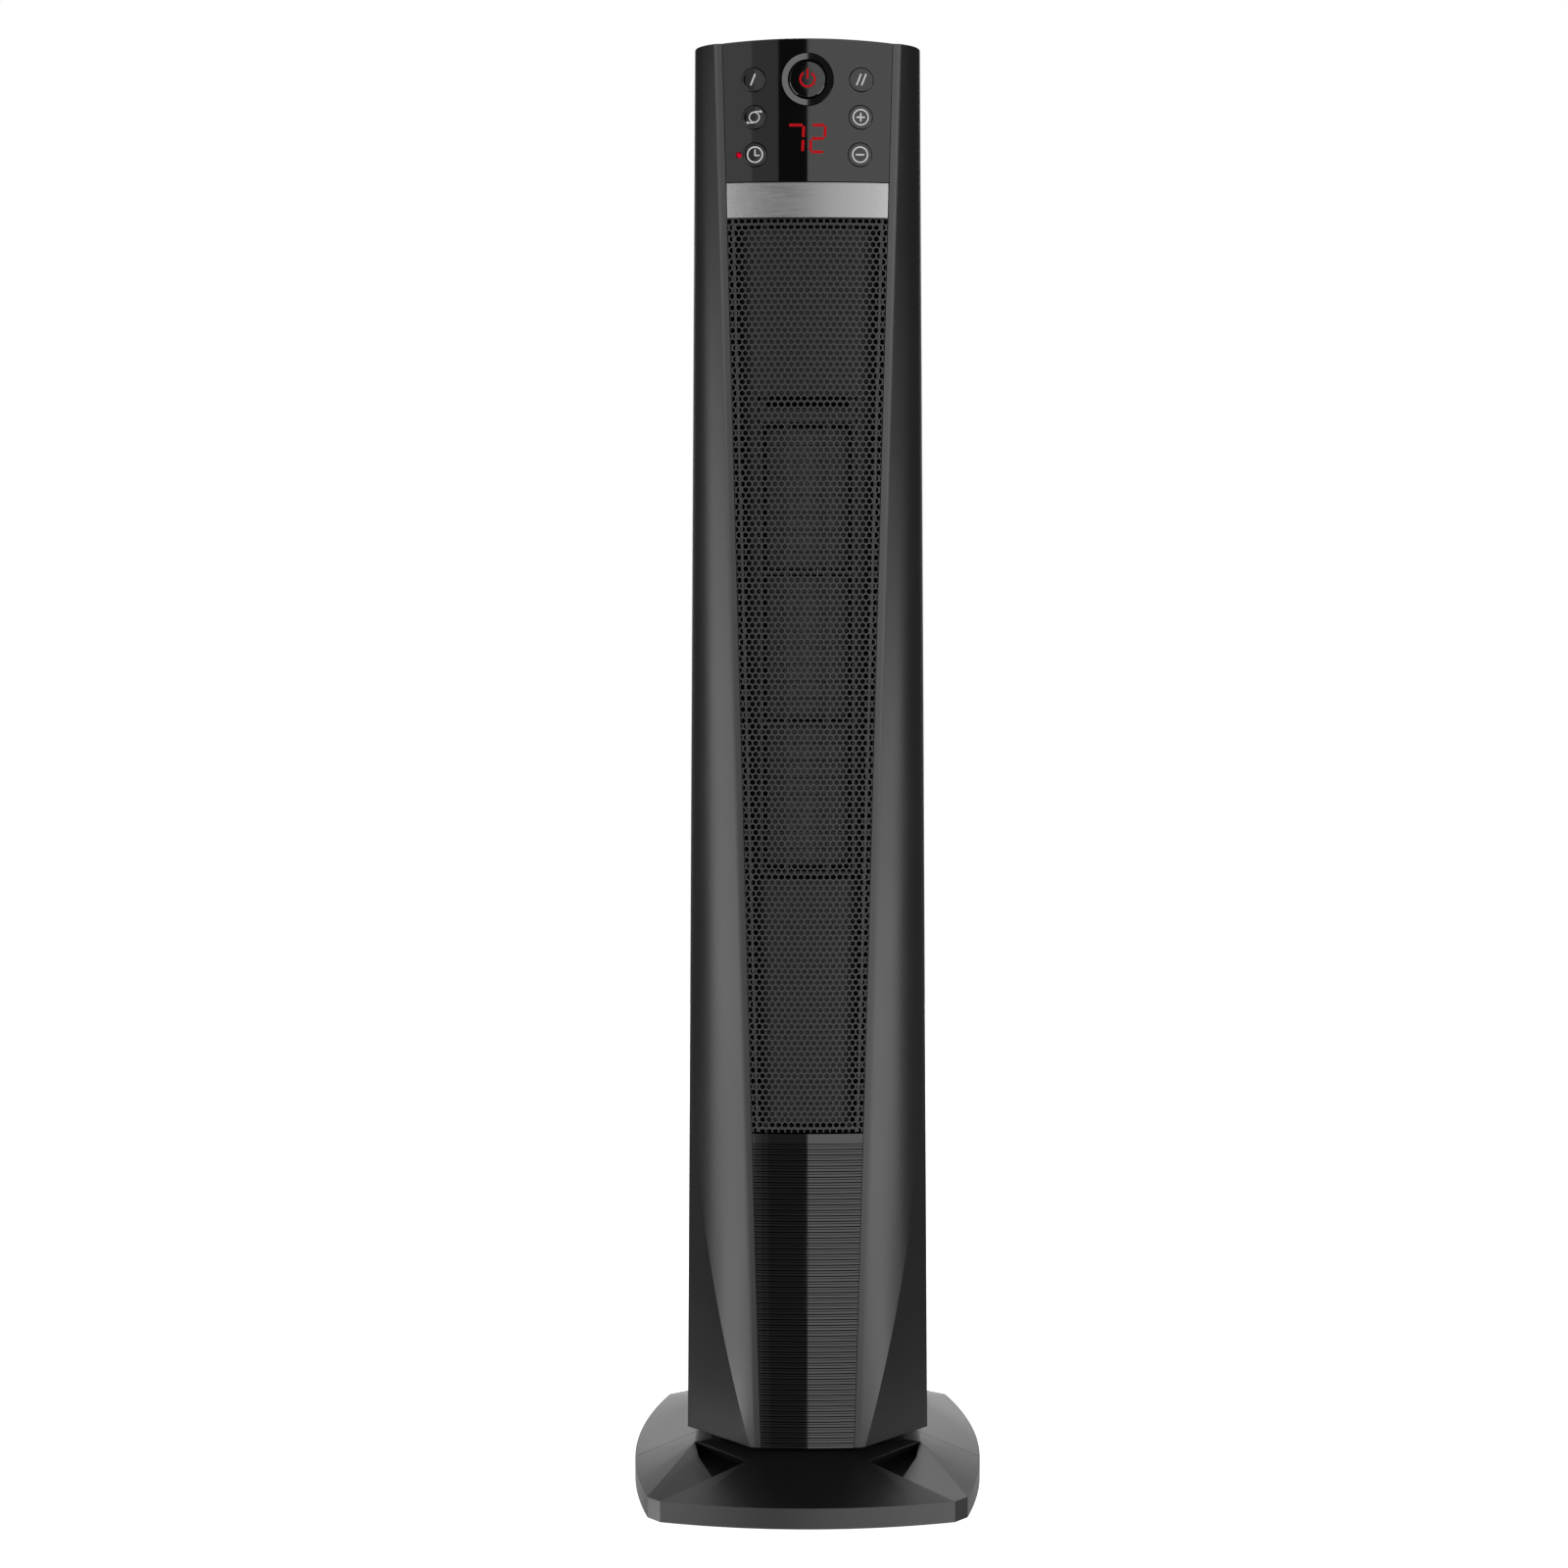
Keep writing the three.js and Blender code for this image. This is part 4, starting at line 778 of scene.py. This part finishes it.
def top_cap():
    """A crowned lid set a little below the rim."""
    bm = plate(cap_outline(), -CAP_THICKNESS, 0)
    for index in range(-CAP_SLICES, CAP_SLICES + 1):
        sliced(bm, (index * CAP_SLICE_WIDTH, 0, 0), (1, 0, 0))
    bevelled(bm, CAP_ROUNDING, 2, 60)
    for corner in bm.verts:
        corner.co.z += crown_at(corner.co.x) - CAP_DROP
    return bm


# Front pieces

def front_panel(low, high, columns, rows, top_at=None):
    """A curved slab of the front between two levels; top_at(x) gives a top edge that isn't level."""
    def place(u, v, inset):
        z = lerp(low, high, v)
        x = across(z, u)
        return x, front_at(x, z) + inset, lerp(low, top_at(x) if top_at else high, v)
    return walled(columns, rows, place, PANEL_THICKNESS)


def button_places():
    names = ["low_heat", "swivel", "timer", "high_heat", "plus", "minus"]
    for index, name in enumerate(names):
        side, row = (-1, 1)[index // 3], index % 3
        z = POWER_LEVEL - row * BUTTON_PITCH
        yield name, side * BUTTON_X * panel_half(z) / panel_half(POWER_LEVEL), z


def facing(bm, x, z, out=0.0):
    """Moves a shape made round the Y axis onto the curved front."""
    angle = math.atan(x / CURVE_RADIUS)
    normal = Vector((math.sin(angle), -math.cos(angle), 0))
    return shifted(bm, Vector((x, front_at(x, z), z)) + normal * out, angle)


def hole(x, z, radius):
    return facing(rod(radius, -OVERRUN, 2 * OVERRUN, 72), x, z)


def control_panel():
    bm = front_panel(CONTROL_BOTTOM + SEAT, COLUMN_TOP, 60, 6, crown_at)
    bevelled(bm, PANEL_ROUNDING, 2, 60, lambda edge: abs(edge.verts[0].co.z - edge.verts[1].co.z) < 1)
    holes = [hole(x, z, SMALL_RADIUS + SEAM) for name, x, z in button_places()]
    holes.append(hole(0, POWER_LEVEL, POWER_RADIUS + RING_WIDTH + SEAT))
    holes.append(hole(-LAMP_X, LAMP_LEVEL, LAMP_HOLE + SEAT))
    return carved(bm, *holes)


def silver_band():
    return bevelled(front_panel(BAND_BOTTOM + SEAT, CONTROL_BOTTOM, 48, 2), BAND_ROUNDING, 2, 60)


def ribbed_panel():
    """The gloss panel with its level ribs; each row of its face has a height and a depth."""
    rib_top = GRILLE_BOTTOM - RIB_BORDER
    pitch = (rib_top - COLUMN_BOTTOM) / RIB_COUNT
    levels = [(COLUMN_BOTTOM + SEAT, RIB_FOOT_DEPTH)]
    for rib in range(RIB_COUNT):
        profile = RIB_PROFILE if rib else RIB_PROFILE[1:]
        levels += [(COLUMN_BOTTOM + pitch * (rib + share), depth) for share, depth in profile]
    groove_top = rib_top + GROOVE_WIDTH
    levels += [(rib_top, GROOVE_DEPTH), (groove_top, GROOVE_DEPTH), (groove_top + GROOVE_LIP, 0)]
    levels.append((GRILLE_BOTTOM - RIB_TOP_GAP, 0))
    columns, rows = 32, len(levels) - 1

    def place(u, v, inset):
        z, depth = levels[round(v * rows)]
        x = across(z, u)
        return x, front_at(x, z) + max(depth, inset), z
    return walled(columns, rows, place, PANEL_THICKNESS)


def honeycomb_row():
    """One row of six-sided rings, a little longer than the grille is wide."""
    bm = bmesh.new()
    bmesh.ops.create_circle(bm, cap_ends=True, segments=6, radius=CELL_PITCH / math.sqrt(3))
    bmesh.ops.inset_individual(bm, faces=bm.faces[:], thickness=(CELL_PITCH - CELL_HOLE) / 2)
    bmesh.ops.delete(bm, geom=[face for face in bm.faces if len(face.verts) == 6], context="FACES_ONLY")
    shifted(bm, turn=math.pi / 2, axis="X")
    reach = math.ceil(PANEL_HEAD_HALF / CELL_PITCH) + 1
    ring = bm.verts[:] + bm.edges[:] + bm.faces[:]
    for index in range(-reach, reach + 1):
        copy = bmesh.ops.duplicate(bm, geom=ring)["geom"]
        bmesh.ops.translate(bm, vec=(index * CELL_PITCH, 0, 0), verts=corners_in(copy))
    bmesh.ops.delete(bm, geom=corners_in(ring), context="VERTS")
    return as_mesh(bm, "row")


def honeycomb():
    """A pressed sheet of six-sided holes that run right to its edges, where they are cut through."""
    low, high = GRILLE_BOTTOM + SEAT, BAND_BOTTOM
    row_pitch, first_row = CELL_PITCH * math.sqrt(3) / 2, high - FIRST_ROW_DROP
    row, bm = honeycomb_row(), bmesh.new()
    for index in range(math.ceil((first_row - low) / row_pitch) + 2):
        start = len(bm.verts)
        bm.from_mesh(row)
        bm.verts.ensure_lookup_table()
        move = (CELL_PITCH / 2 * (index % 2), 0, first_row - index * row_pitch)
        bmesh.ops.translate(bm, vec=move, verts=bm.verts[start:])
    bpy.data.meshes.remove(row)
    bmesh.ops.remove_doubles(bm, verts=bm.verts, dist=0.01)
    slope = (panel_half(high) - panel_half(low)) / (high - low)
    edges = [((side * panel_half(low), 0, low), (side, 0, -slope)) for side in (-1, 1)]
    for point, outward in edges + [((0, 0, low), (0, 0, -1)), ((0, 0, high), (0, 0, 1))]:
        sliced(bm, point, outward, dist=0.0001, clear_outer=True)
    bmesh.ops.recalc_face_normals(bm, faces=bm.faces)
    extruded(bm, bm.faces[:], (0, SHEET_THICKNESS, 0))
    for corner in bm.verts:
        corner.co.y += front_at(corner.co.x, corner.co.z)
    return bm


def sheet_strip(x_at, low, high, gap, thickness, columns=1, rows=24):
    """A curved strip behind the front face, between the sides x_at(z, 0) and x_at(z, 1)."""
    def place(u, v, inset):
        z = lerp(low, high, v)
        x = lerp(x_at(z, 0), x_at(z, 1), u)
        return x, front_at(x, z) + gap + inset, z
    return walled(columns, rows, place, thickness)


def grille_frame():
    """The rib that runs round the back of the honeycomb sheet."""
    low, high = GRILLE_BOTTOM + SEAT, BAND_BOTTOM
    gap = SHEET_THICKNESS + CLEARANCE
    depth = PANEL_THICKNESS - gap

    def upright(side):
        sides = lambda z, end: side * (panel_half(z) - (FRAME_FAR, FRAME_NEAR)[end])
        return sheet_strip(sides, low, high, gap, depth)

    def level(bottom, top):
        sides = lambda z, end: (end * 2 - 1) * (panel_half(z) - FRAME_FAR)
        return sheet_strip(sides, bottom, top, gap, depth, 24, 1)

    foot = level(low + FRAME_RISE, low + FRAME_RISE + FRAME_BEAM)
    return merged(upright(-1), upright(1), foot, level(high - FRAME_FAR, high - FRAME_NEAR))


def seam_backing(side):
    """Closes the seam beside the front panel from behind."""
    sides = lambda z, end: side * (panel_half(z) + lerp(-BACKING_NEAR, BACKING_FAR, end))
    low, high = COLUMN_BOTTOM + BACKING_RISE, crown_at(PANEL_HEAD_HALF) + BACKING_TOP
    return sheet_strip(sides, low, high, PANEL_THICKNESS + CLEARANCE, BACKING_THICKNESS, 2, 24)


def plate_half(z):
    return panel_half(z) - PLATE_MARGIN


def rolled_back(x, z):
    """How far a plate behind the grille has rolled back at its sides."""
    reach = abs(x) - (plate_half(z) - ROLL_WIDTH)
    return ROLL_DEPTH * max(0, reach / ROLL_WIDTH) ** 2


def plate_behind(levels, left_at, right_at, columns):
    def place(u, v, inset):
        z = lerp(*levels, v)
        x = lerp(left_at(z), right_at(z), u)
        return x, front_at(x, z) + PANEL_THICKNESS + SEAT + rolled_back(x, z) + inset, z
    return walled(columns, 12, place, PLATE_THICKNESS)


def blank_plate(levels):
    return plate_behind(levels, lambda z: -plate_half(z), plate_half, 44)


def outlet_flank(side):
    """The plate beside the outlet frame."""
    near, far = lambda z: side * (OUTLET_HALF + FLANK_GAP), lambda z: side * plate_half(z)
    return plate_behind(FLANK_PLATE, near, far, 14)


def gaps_between(first, bars, last):
    """The open stretches from first to last that bars on the given lines leave."""
    trim = BAR_WIDTH / 2
    starts = [first, *[bar + trim for bar in bars]]
    ends = [*[bar - trim for bar in bars], last]
    return list(zip(starts, ends))


def outlet_surround():
    """The frame round the warm air outlet, with two upright and two level bars."""
    near, far = OUTLET_CUT
    columns = gaps_between(-WINDOW_HALF, (-BAR_X, BAR_X), WINDOW_HALF)
    windows = [block((left, near, low), (right, far, high))
               for low, high in gaps_between(WINDOW_LOW, BAR_LEVELS, WINDOW_HIGH) for left, right in columns]
    hood_sides = ((HOOD_FRONT, HOOD_LOW), (HOOD_FRONT, HOOD_HIGH), (HOOD_FRONT + HOOD_DEPTH, HOOD_HIGH))
    hood = hull([(x, y, z) for x in (-HOOD_HALF, HOOD_HALF) for y, z in hood_sides])
    slit = block((-HOOD_HALF, near, HOOD_STEP), (HOOD_HALF, far, HOOD_HIGH))
    body_low, body_high = (-OUTLET_HALF, OUTLET_FRONT, OUTLET_LOW), (OUTLET_HALF, OUTLET_BACK, OUTLET_HIGH)
    return carved(block(body_low, body_high, OUTLET_ROUNDING), hood, slit, *windows)


def outlet_painted_shade():
    """A near-black sheet behind the frame that reflects almost nothing: painted shade, seen as a dark line round
    the heaters.
    """
    near, far = SHADE_FRONT, SHADE_FRONT + SHADE_THICKNESS
    half, low, high = OUTLET_HALF + SHADE_REACH, OUTLET_LOW + SHADE_RISE, OUTLET_HIGH - SHADE_DROP
    lining = block((-half, near, low), (half, far, high))
    half, low, high = WINDOW_HALF - SHADE_WIDTH, WINDOW_LOW + SHADE_HEIGHT, WINDOW_HIGH - SHADE_HEIGHT
    return carved(lining, block((-half, near - SHADE_THICKNESS, low), (half, far + SHADE_THICKNESS, high)))


# Buttons, marks and lamps

def stem_profile(radius, end):
    """The skirt of a button's cap and the stem behind it."""
    return [(radius, CAP_DEPTH), (STEM_RADIUS, CAP_DEPTH), (STEM_RADIUS, end), (0, end)]


def dished_button():
    """A cap with a shallow dish and a crisp rim, on its stem; its face looks towards -Y."""
    radius = SMALL_RADIUS
    profile = [(0, DISH)]
    profile += [(radius * DISH_SHARE * t, DISH * (1 - t * t)) for t in (0.2, 0.4, 0.6, 0.8, 0.9, 1)]
    profile += [(radius - 0.2, 0.03), (radius - 0.05, 0.15), (radius, 0.4)]
    return turned(profile + stem_profile(radius, BUTTON_DEPTH), 64, "Y")


def power_cap():
    """A flat cap with a bevel that runs down to its rim."""
    face, radius = POWER_RADIUS - POWER_BEVEL, POWER_RADIUS - POWER_PLAY
    profile = [(0, 0), (face * 0.5, 0), (face - 0.12, 0), (face - 0.02, 0.01), (face + 0.05, 0.06),
               (radius - 0.25, 0.62), (radius - 0.05, 0.85), (radius, 1.1)]
    return turned(profile + stem_profile(radius, POWER_DEPTH), 96, "Y")


def power_ring():
    """A bezel whose face slopes gently inwards."""
    inner, outer = POWER_RADIUS, POWER_RADIUS + RING_WIDTH
    slope = math.tan(math.radians(RING_SLOPE))
    radii = (inner + 0.1, inner + 0.25, outer - 0.3, outer - 0.12)
    face = [(radius, slope * (outer - radius)) for radius in radii]
    profile = [(inner, face[0][1] + 0.2), *face, (outer, 0.2), (outer, RING_DEPTH), (inner, RING_DEPTH)]
    return turned(profile, 96, "Y", True)


def lamp_lens():
    """A low dome on a short rod."""
    return turned([(0, -0.25), (0.7, -0.18), (1.1, 0), (1.25, 0.3), (1.25, 5), (0, 5)], 32, "Y")


def flat_ring(radius, line, start=0.0, sweep=math.tau):
    """A thin flat ring of ink; sweep below a full turn leaves it open, starting at an angle from +X."""
    inner = radius - line
    profile = [(inner, -INK_DEPTH), (radius, -INK_DEPTH), (radius, 0), (inner, 0)]
    return shifted(turned(profile, 56, "Y", True, sweep), turn=start, axis="Y")


def stroke(start, end, width):
    """A thin straight line of ink with rounded ends between two points (x, z)."""
    run = Vector(end) - Vector(start)
    half = run.length / 2 + width / 4
    bm = bevelled(block((-half, -INK_DEPTH, -width / 2), (half, 0, width / 2)), width * 0.3, 3, 30, runs_back)
    middle = (Vector(start) + Vector(end)) / 2
    return shifted(bm, (middle.x, 0, middle.y), -math.atan2(run.y, run.x), "Y")


def arrow_tip(x, z, turn):
    bm = bmesh.new()
    bmesh.ops.create_circle(bm, cap_ends=True, segments=3, radius=ARROW_RADIUS)
    extruded(bm, bm.faces[:], (0, 0, INK_DEPTH))
    shifted(bm, turn=math.pi / 2, axis="X")
    return shifted(bm, (x, 0, z), turn, "Y")


def swivel_mark():
    """A ring with an arrow along its top and another, turned round, along its foot."""
    parts = [flat_ring(3.0, 0.65)]
    for side, turn in ((1, -0.3), (-1, math.pi - 0.3)):
        parts.append(arrow_tip(side * 3.6, side * 2.85, turn))
        parts.append(stroke((side * 0.4, side * 2.95), (side * 3.4, side * 2.95), 0.6))
    return merged(*parts)


def button_mark(name):
    slash = lambda x: stroke((x - 1.15, -2.8), (x + 1.15, 2.9), MARK_LINE)
    if name == "low_heat":
        return slash(-0.4)
    if name == "high_heat":
        return merged(slash(-1.4), slash(1.3))
    if name == "swivel":
        return swivel_mark()
    ring = flat_ring(4.4, 0.75)
    if name == "timer":
        return merged(ring, stroke((0, 2.6), (0, -0.4), 0.7), stroke((0, -0.4), (2.3, -0.4), 0.7))
    bar = stroke((-2.1, 0), (2.1, 0), MARK_LINE)
    return merged(ring, bar, stroke((0, 2.1), (0, -2.1), MARK_LINE)) if name == "plus" else merged(ring, bar)


def dished(bm):
    """Lays a flat mark into the dish of a small button."""
    for corner in bm.verts:
        share = math.hypot(corner.co.x, corner.co.z) / (SMALL_RADIUS * DISH_SHARE)
        corner.co.y += DISH * max(0, 1 - share * share) - INK_LIFT
    return bm


def power_mark():
    gap = math.radians(66)
    ring = flat_ring(4.45, 1.15, -math.pi / 2 + gap / 2, math.tau - gap)
    return merged(ring, stroke((0, 5.3), (0, 0.4), 1.15))


# Both ends of each stroke of a digit, as shares of its width and height
SEGMENTS = {
    "top": ((0.12, 1), (0.88, 1)), "middle": ((0.12, 0.5), (0.88, 0.5)), "bottom": ((0.12, 0), (0.88, 0)),
    "left_high": ((0, 0.58), (0, 0.94)), "left_low": ((0, 0.06), (0, 0.42)),
    "right_high": ((1, 0.58), (1, 0.94)), "right_low": ((1, 0.06), (1, 0.42)),
}


def digit(segments, left, width):
    strokes = []
    for name in segments:
        ends = [(left + x * width + z * DIGIT_HEIGHT * DIGIT_SLANT, DIGIT_BOTTOM + z * DIGIT_HEIGHT)
                for x, z in SEGMENTS[name]]
        strokes.append(stroke(*ends, DIGIT_LINE))
    return merged(*strokes)


def display_digits():
    """The lit number, laid on the curved front."""
    seven = digit(["top", "right_high", "right_low"], SEVEN_LEFT, DIGIT_WIDTH + SEVEN_EXTRA)
    two = digit(["top", "right_high", "middle", "left_low", "bottom"], TWO_LEFT, DIGIT_WIDTH)
    bm = merged(seven, two)
    for corner in bm.verts:
        corner.co.y += front_at(corner.co.x, corner.co.z) - DIGIT_LIFT
    return bm


# Base

def bowed(start, end, bow, steps=28):
    """Points from start to just before end, on a line that swells by the bow in its middle."""
    points = []
    for i in range(steps):
        t = i / steps
        swell = 4 * t * (1 - t)
        x, y = lerp(start[0], end[0], t), lerp(start[1], end[1], t)
        points.append((x + bow[0] * swell, y + bow[1] * swell))
    return points


def rim_outline():
    (fx, fy), (gx, gy) = FRONT_CORNER, FRONT_CHAMFER
    (rx, ry), (sx, sy) = REAR_CORNER, REAR_CHAMFER
    side_bow = BASE_HALF - SIDE_CLEARANCE - (fx + rx) / 2
    return [
        *bowed((-gx, -gy), (gx, -gy), (0, gy - FRONT_REACH)), (gx, -gy),
        *bowed((fx, -fy), (rx, ry), (side_bow, 0)), (rx, ry),
        *bowed((sx, sy), (-sx, sy), (0, REAR_REACH - sy)), (-sx, sy),
        *bowed((-rx, ry), (-fx, -fy), (-side_bow, 0)), (-fx, -fy),
    ]


def plateau_outline(inset=0.0):
    (ex, ey), (nx, ny) = PLATEAU_EDGE, PLATEAU_NOSE
    half = [(nx, -ny), (ex, -ey), (ex, ey), (nx, ny)]
    return [(x - math.copysign(inset, x), y - math.copysign(inset, y)) for x, y in half + mirrored(half)]


def inner_line(outline, distance):
    """The outline moved inwards."""
    moved = []
    for i, (x, y) in enumerate(outline):
        before, after = Vector(outline[i - 1]), Vector(outline[(i + 1) % len(outline)])
        along = (after - before).normalized()
        moved.append((x - along.y * distance, y + along.x * distance))
    return moved


def pocket(side, margin):
    """The dark recess under each front diagonal edge of the plateau."""
    slope = (PLATEAU - RIM_TOP) / (FRONT_CORNER[0] - PLATEAU_NOSE[0])
    lip = RIM_TOP + (FRONT_CORNER[0] - POCKET_LIP[0]) * slope
    floor = PLATEAU - POCKET_DEPTH - margin
    lip_level = min(lip, floor + margin + WALL / 2) - margin
    corners = [(*PLATEAU_EDGE, floor), (*PLATEAU_NOSE, floor), (*POCKET_LIP, lip_level),
               (*POCKET_SHOULDER, floor + WALL / 2)]
    centre = Vector([sum(values) / len(corners) for values in zip(*corners)][:2])
    grow = 1 + margin * 2 / (Vector(POCKET_LIP) - centre).length
    points = [(centre.x + (x - centre.x) * grow, centre.y + (y - centre.y) * grow, z) for x, y, z in corners]
    walls = points + [(x, y, PLATEAU + OVERRUN) for x, y, z in points]
    return hull([(side * x, -y, z) for x, y, z in walls])


def undercut(side, margin):
    """The part of the recess that runs on under the plateau's edge."""
    run = Vector(PLATEAU_EDGE) - Vector(PLATEAU_NOSE)
    across = Vector((-run.y, run.x)).normalized()
    floor, roof = PLATEAU - POCKET_DEPTH - margin, PLATEAU - UNDERCUT_ROOF
    outside = -margin - UNDERCUT_OVERLAP
    lines = [(outside, floor), (outside, roof), (UNDERCUT_LIP, roof), (POCKET_UNDERCUT + margin, floor)]
    points = []
    for inward, z in lines:
        for end in (PLATEAU_EDGE, PLATEAU_NOSE):
            place = Vector(end) - across * inward
            points.append((side * place.x, -place.y, z))
    return hull(points)


def collar_arcs(steps=20):
    """The front and rear arcs of the low collar that rises from the plateau round the neck."""
    spread = math.asin(COLLAR_HALF / COLLAR_RADIUS)
    points = []
    for i in range(steps + 1):
        angle = lerp(-spread, spread, i / steps)
        x, y = COLLAR_RADIUS * math.sin(angle), COLLAR_RADIUS * math.cos(angle)
        z = PLATEAU + COLLAR_HEIGHT - COLLAR_DROP * (x / COLLAR_HALF) ** 4
        points += [(x, y, z), (x, -y, z)]
    return points


def low_or_blunt(edge):
    """Tells the sharp edges above the rim from the others, because those stay crisp."""
    low = max(corner.co.z for corner in edge.verts) < RIM_TOP + RIM_MARGIN
    return low or edge.calc_face_angle(0) < math.radians(50)


def base_half(side):
    """One half of the base shell, split at the seam across the wings."""
    rim = rim_outline()
    outer = hull([(x, y, z) for x, y in rim for z in (RIM_BOTTOM, RIM_TOP)]
                 + [(x, y, PLATEAU) for x, y in plateau_outline()] + collar_arcs())
    inner = hull([(x, y, z) for x, y in inner_line(rim, WALL) for z in (-OVERRUN, RIM_TOP - WALL)]
                 + [(x, y, PLATEAU - WALL) for x, y in plateau_outline(WALL)])
    recesses = lambda margin: [shape(end, margin) for shape in (pocket, undercut) for end in (1, -1)]
    hollow = carved(inner, *recesses(WALL))
    edge = SEAM_Y + side * SPLIT_HALF
    near, far = (edge - SPLIT_REACH, edge) if side > 0 else (edge, edge + SPLIT_REACH)
    away = block((-SPLIT_REACH, near, SPLIT_LOW), (SPLIT_REACH, far, SPLIT_HIGH))
    cutters = [*recesses(0), hollow, rod(NECK_HOLE, 0, NECK_CUT, 96, "Z"), away]
    if side > 0:
        cutters.append(shifted(rod(GLAND_HOLE, -GLAND_CUT, GLAND_CUT, 32), (0, REAR_REACH, GLAND_LEVEL)))
    return bevelled(carved(outer, *cutters), BASE_ROUNDING, 2, 9, low_or_blunt)


def bottom_plate():
    outline = inner_line(rim_outline(), WALL + SEAT)
    return bevelled(plate(outline, RIM_BOTTOM, RIM_BOTTOM + BOTTOM_THICKNESS), BOTTOM_ROUNDING, 2, 50)


def foot(x, y):
    """A rubber pad with a rounded edge and a shallow round hollow in its underside."""
    profile = [(0, 0.35), (3.6, 0.35), (4.0, 0), (7.3, 0), (7.8, 0.25), (8, 0.8), (8, 1.7), (0, 1.7)]
    return shifted(turned(profile, 48), (x, y, 0))


def cord_gland():
    """A bush with a round collar."""
    bush = [(1.45, -9), (2.9, -9), (2.9, 0.3)]
    collar = [(5.0, 0.3), (5.3, 0.7), (5.3, 2.3), (4.9, 2.7), (3.2, 2.7), (2.6, 2.4), (1.45, 2.2)]
    return shifted(turned(bush + collar, 40, "Y", True), (0, REAR_REACH, GLAND_LEVEL))


# Assembly

def finish_solids():
    """Gives every solid the finish of its slot. Only those that no piece replaces are seen."""
    for part in frame["record"]["subparts"]:
        node = frame["nodes"][part["node"]]
        node.data.materials.clear()
        node.data.materials.append(FINISHES[part["material_slot"]])


def build_column():
    for side, name in ((-1, "left_shell"), (1, "right_shell")):
        finished(side_shell(side), name + "_skin", "column", "satin_black", [name], crease=9)
    finished(rear_cover(), "rear_cover_skin", "column", "satin_black", ["rear_cover"])
    finished(carry_cup(), "carry_cup", "column", "satin_black", finish="soft_black")
    finished(louvres(), "intake_louvres", "column", "satin_black", finish="soft_black")
    finished(top_cap(), "top_cap_skin", "column", "satin_black", ["top_cap"])
    finished(control_panel(), "control_panel_skin", "column", "gloss_black", ["control_panel"],
             normal_at=front_normal)
    finished(silver_band(), "silver_band_skin", "column", "silver", ["silver_band"], normal_at=front_normal)
    finished(ribbed_panel(), "ribbed_panel_skin", "column", "gloss_black", ["ribbed_panel"], crease=50)
    finished(honeycomb(), "honeycomb", "column", "grille_black", ["grille"])
    finished(grille_frame(), "grille_frame", "column", "grille_black")
    finished(blank_plate(UPPER_PLATE), "upper_plate", "column", "soft_black", ["upper_blank"], "inner_plate")
    finished(blank_plate(LOWER_PLATE), "lower_plate", "column", "soft_black", ["lower_blank"], "inner_plate")
    flanks = merged(outlet_flank(-1), outlet_flank(1))
    finished(flanks, "outlet_flanks", "column", "soft_black", finish="inner_plate")
    # Painted shade: a near-black sheet that shows as dark lines round the heaters
    finished(outlet_painted_shade(), "outlet_painted_shade", "column", "soft_black", finish="painted_shade_black")
    finished(outlet_surround(), "outlet_surround", "column", "soft_black", ["outlet_frame"], "inner_plate")
    finished(merged(seam_backing(-1), seam_backing(1)), "seam_backing", "column", "soft_black")


def build_controls():
    ring = facing(power_ring(), 0, POWER_LEVEL, BUTTON_PROUD)
    finished(ring, "power_bezel", "column", "gloss_black", ["power_ring"], "bezel_black")
    cap = facing(power_cap(), 0, POWER_LEVEL, BUTTON_PROUD)
    finished(cap, "power_cap", "power_key", "gloss_black", ["power_button"])
    mark = facing(power_mark(), 0, POWER_LEVEL, BUTTON_PROUD - POWER_MARK_SETBACK)
    finished(mark, "power_mark", "power_key", "red_lamp", finish="lit_red")
    for name, x, z in button_places():
        cap = facing(dished_button(), x, z, BUTTON_PROUD)
        finished(cap, name + "_cap", name + "_key", "gloss_black", [name + "_button"])
        mark = facing(dished(button_mark(name)), x, z, BUTTON_PROUD)
        finished(mark, name + "_mark", name + "_key", "gloss_black", finish="button_ink")
    finished(display_digits(), "display_digits", "column", "red_lamp", finish="lit_red")
    lens = facing(lamp_lens(), -LAMP_X, LAMP_LEVEL)
    finished(lens, "lamp_lens", "column", "red_lamp", ["indicator_lamp"])


def build_base():
    finished(base_half(-1), "base_front_skin", "base", "satin_black", ["base_front"], crease=4)
    finished(base_half(1), "base_rear_skin", "base", "satin_black", ["base_rear"], crease=14)
    finished(bottom_plate(), "underside", "base", "soft_black", ["bottom_plate"])
    for row, y in (("front", -FOOT_FRONT), ("rear", FOOT_REAR)):
        for end, x in (("left", -FOOT_X), ("right", FOOT_X)):
            finished(foot(x, y), f"pad_{row}_{end}", "base", "rubber", [f"foot_{row}_{end}"])
    finished(cord_gland(), "gland", "base", "rubber", ["cord_gland"])


add_camera()
add_cards()
add_backdrop()
add_floor(pale_floor("pale_floor"))
finish_solids()
build_column()
build_controls()
build_base()
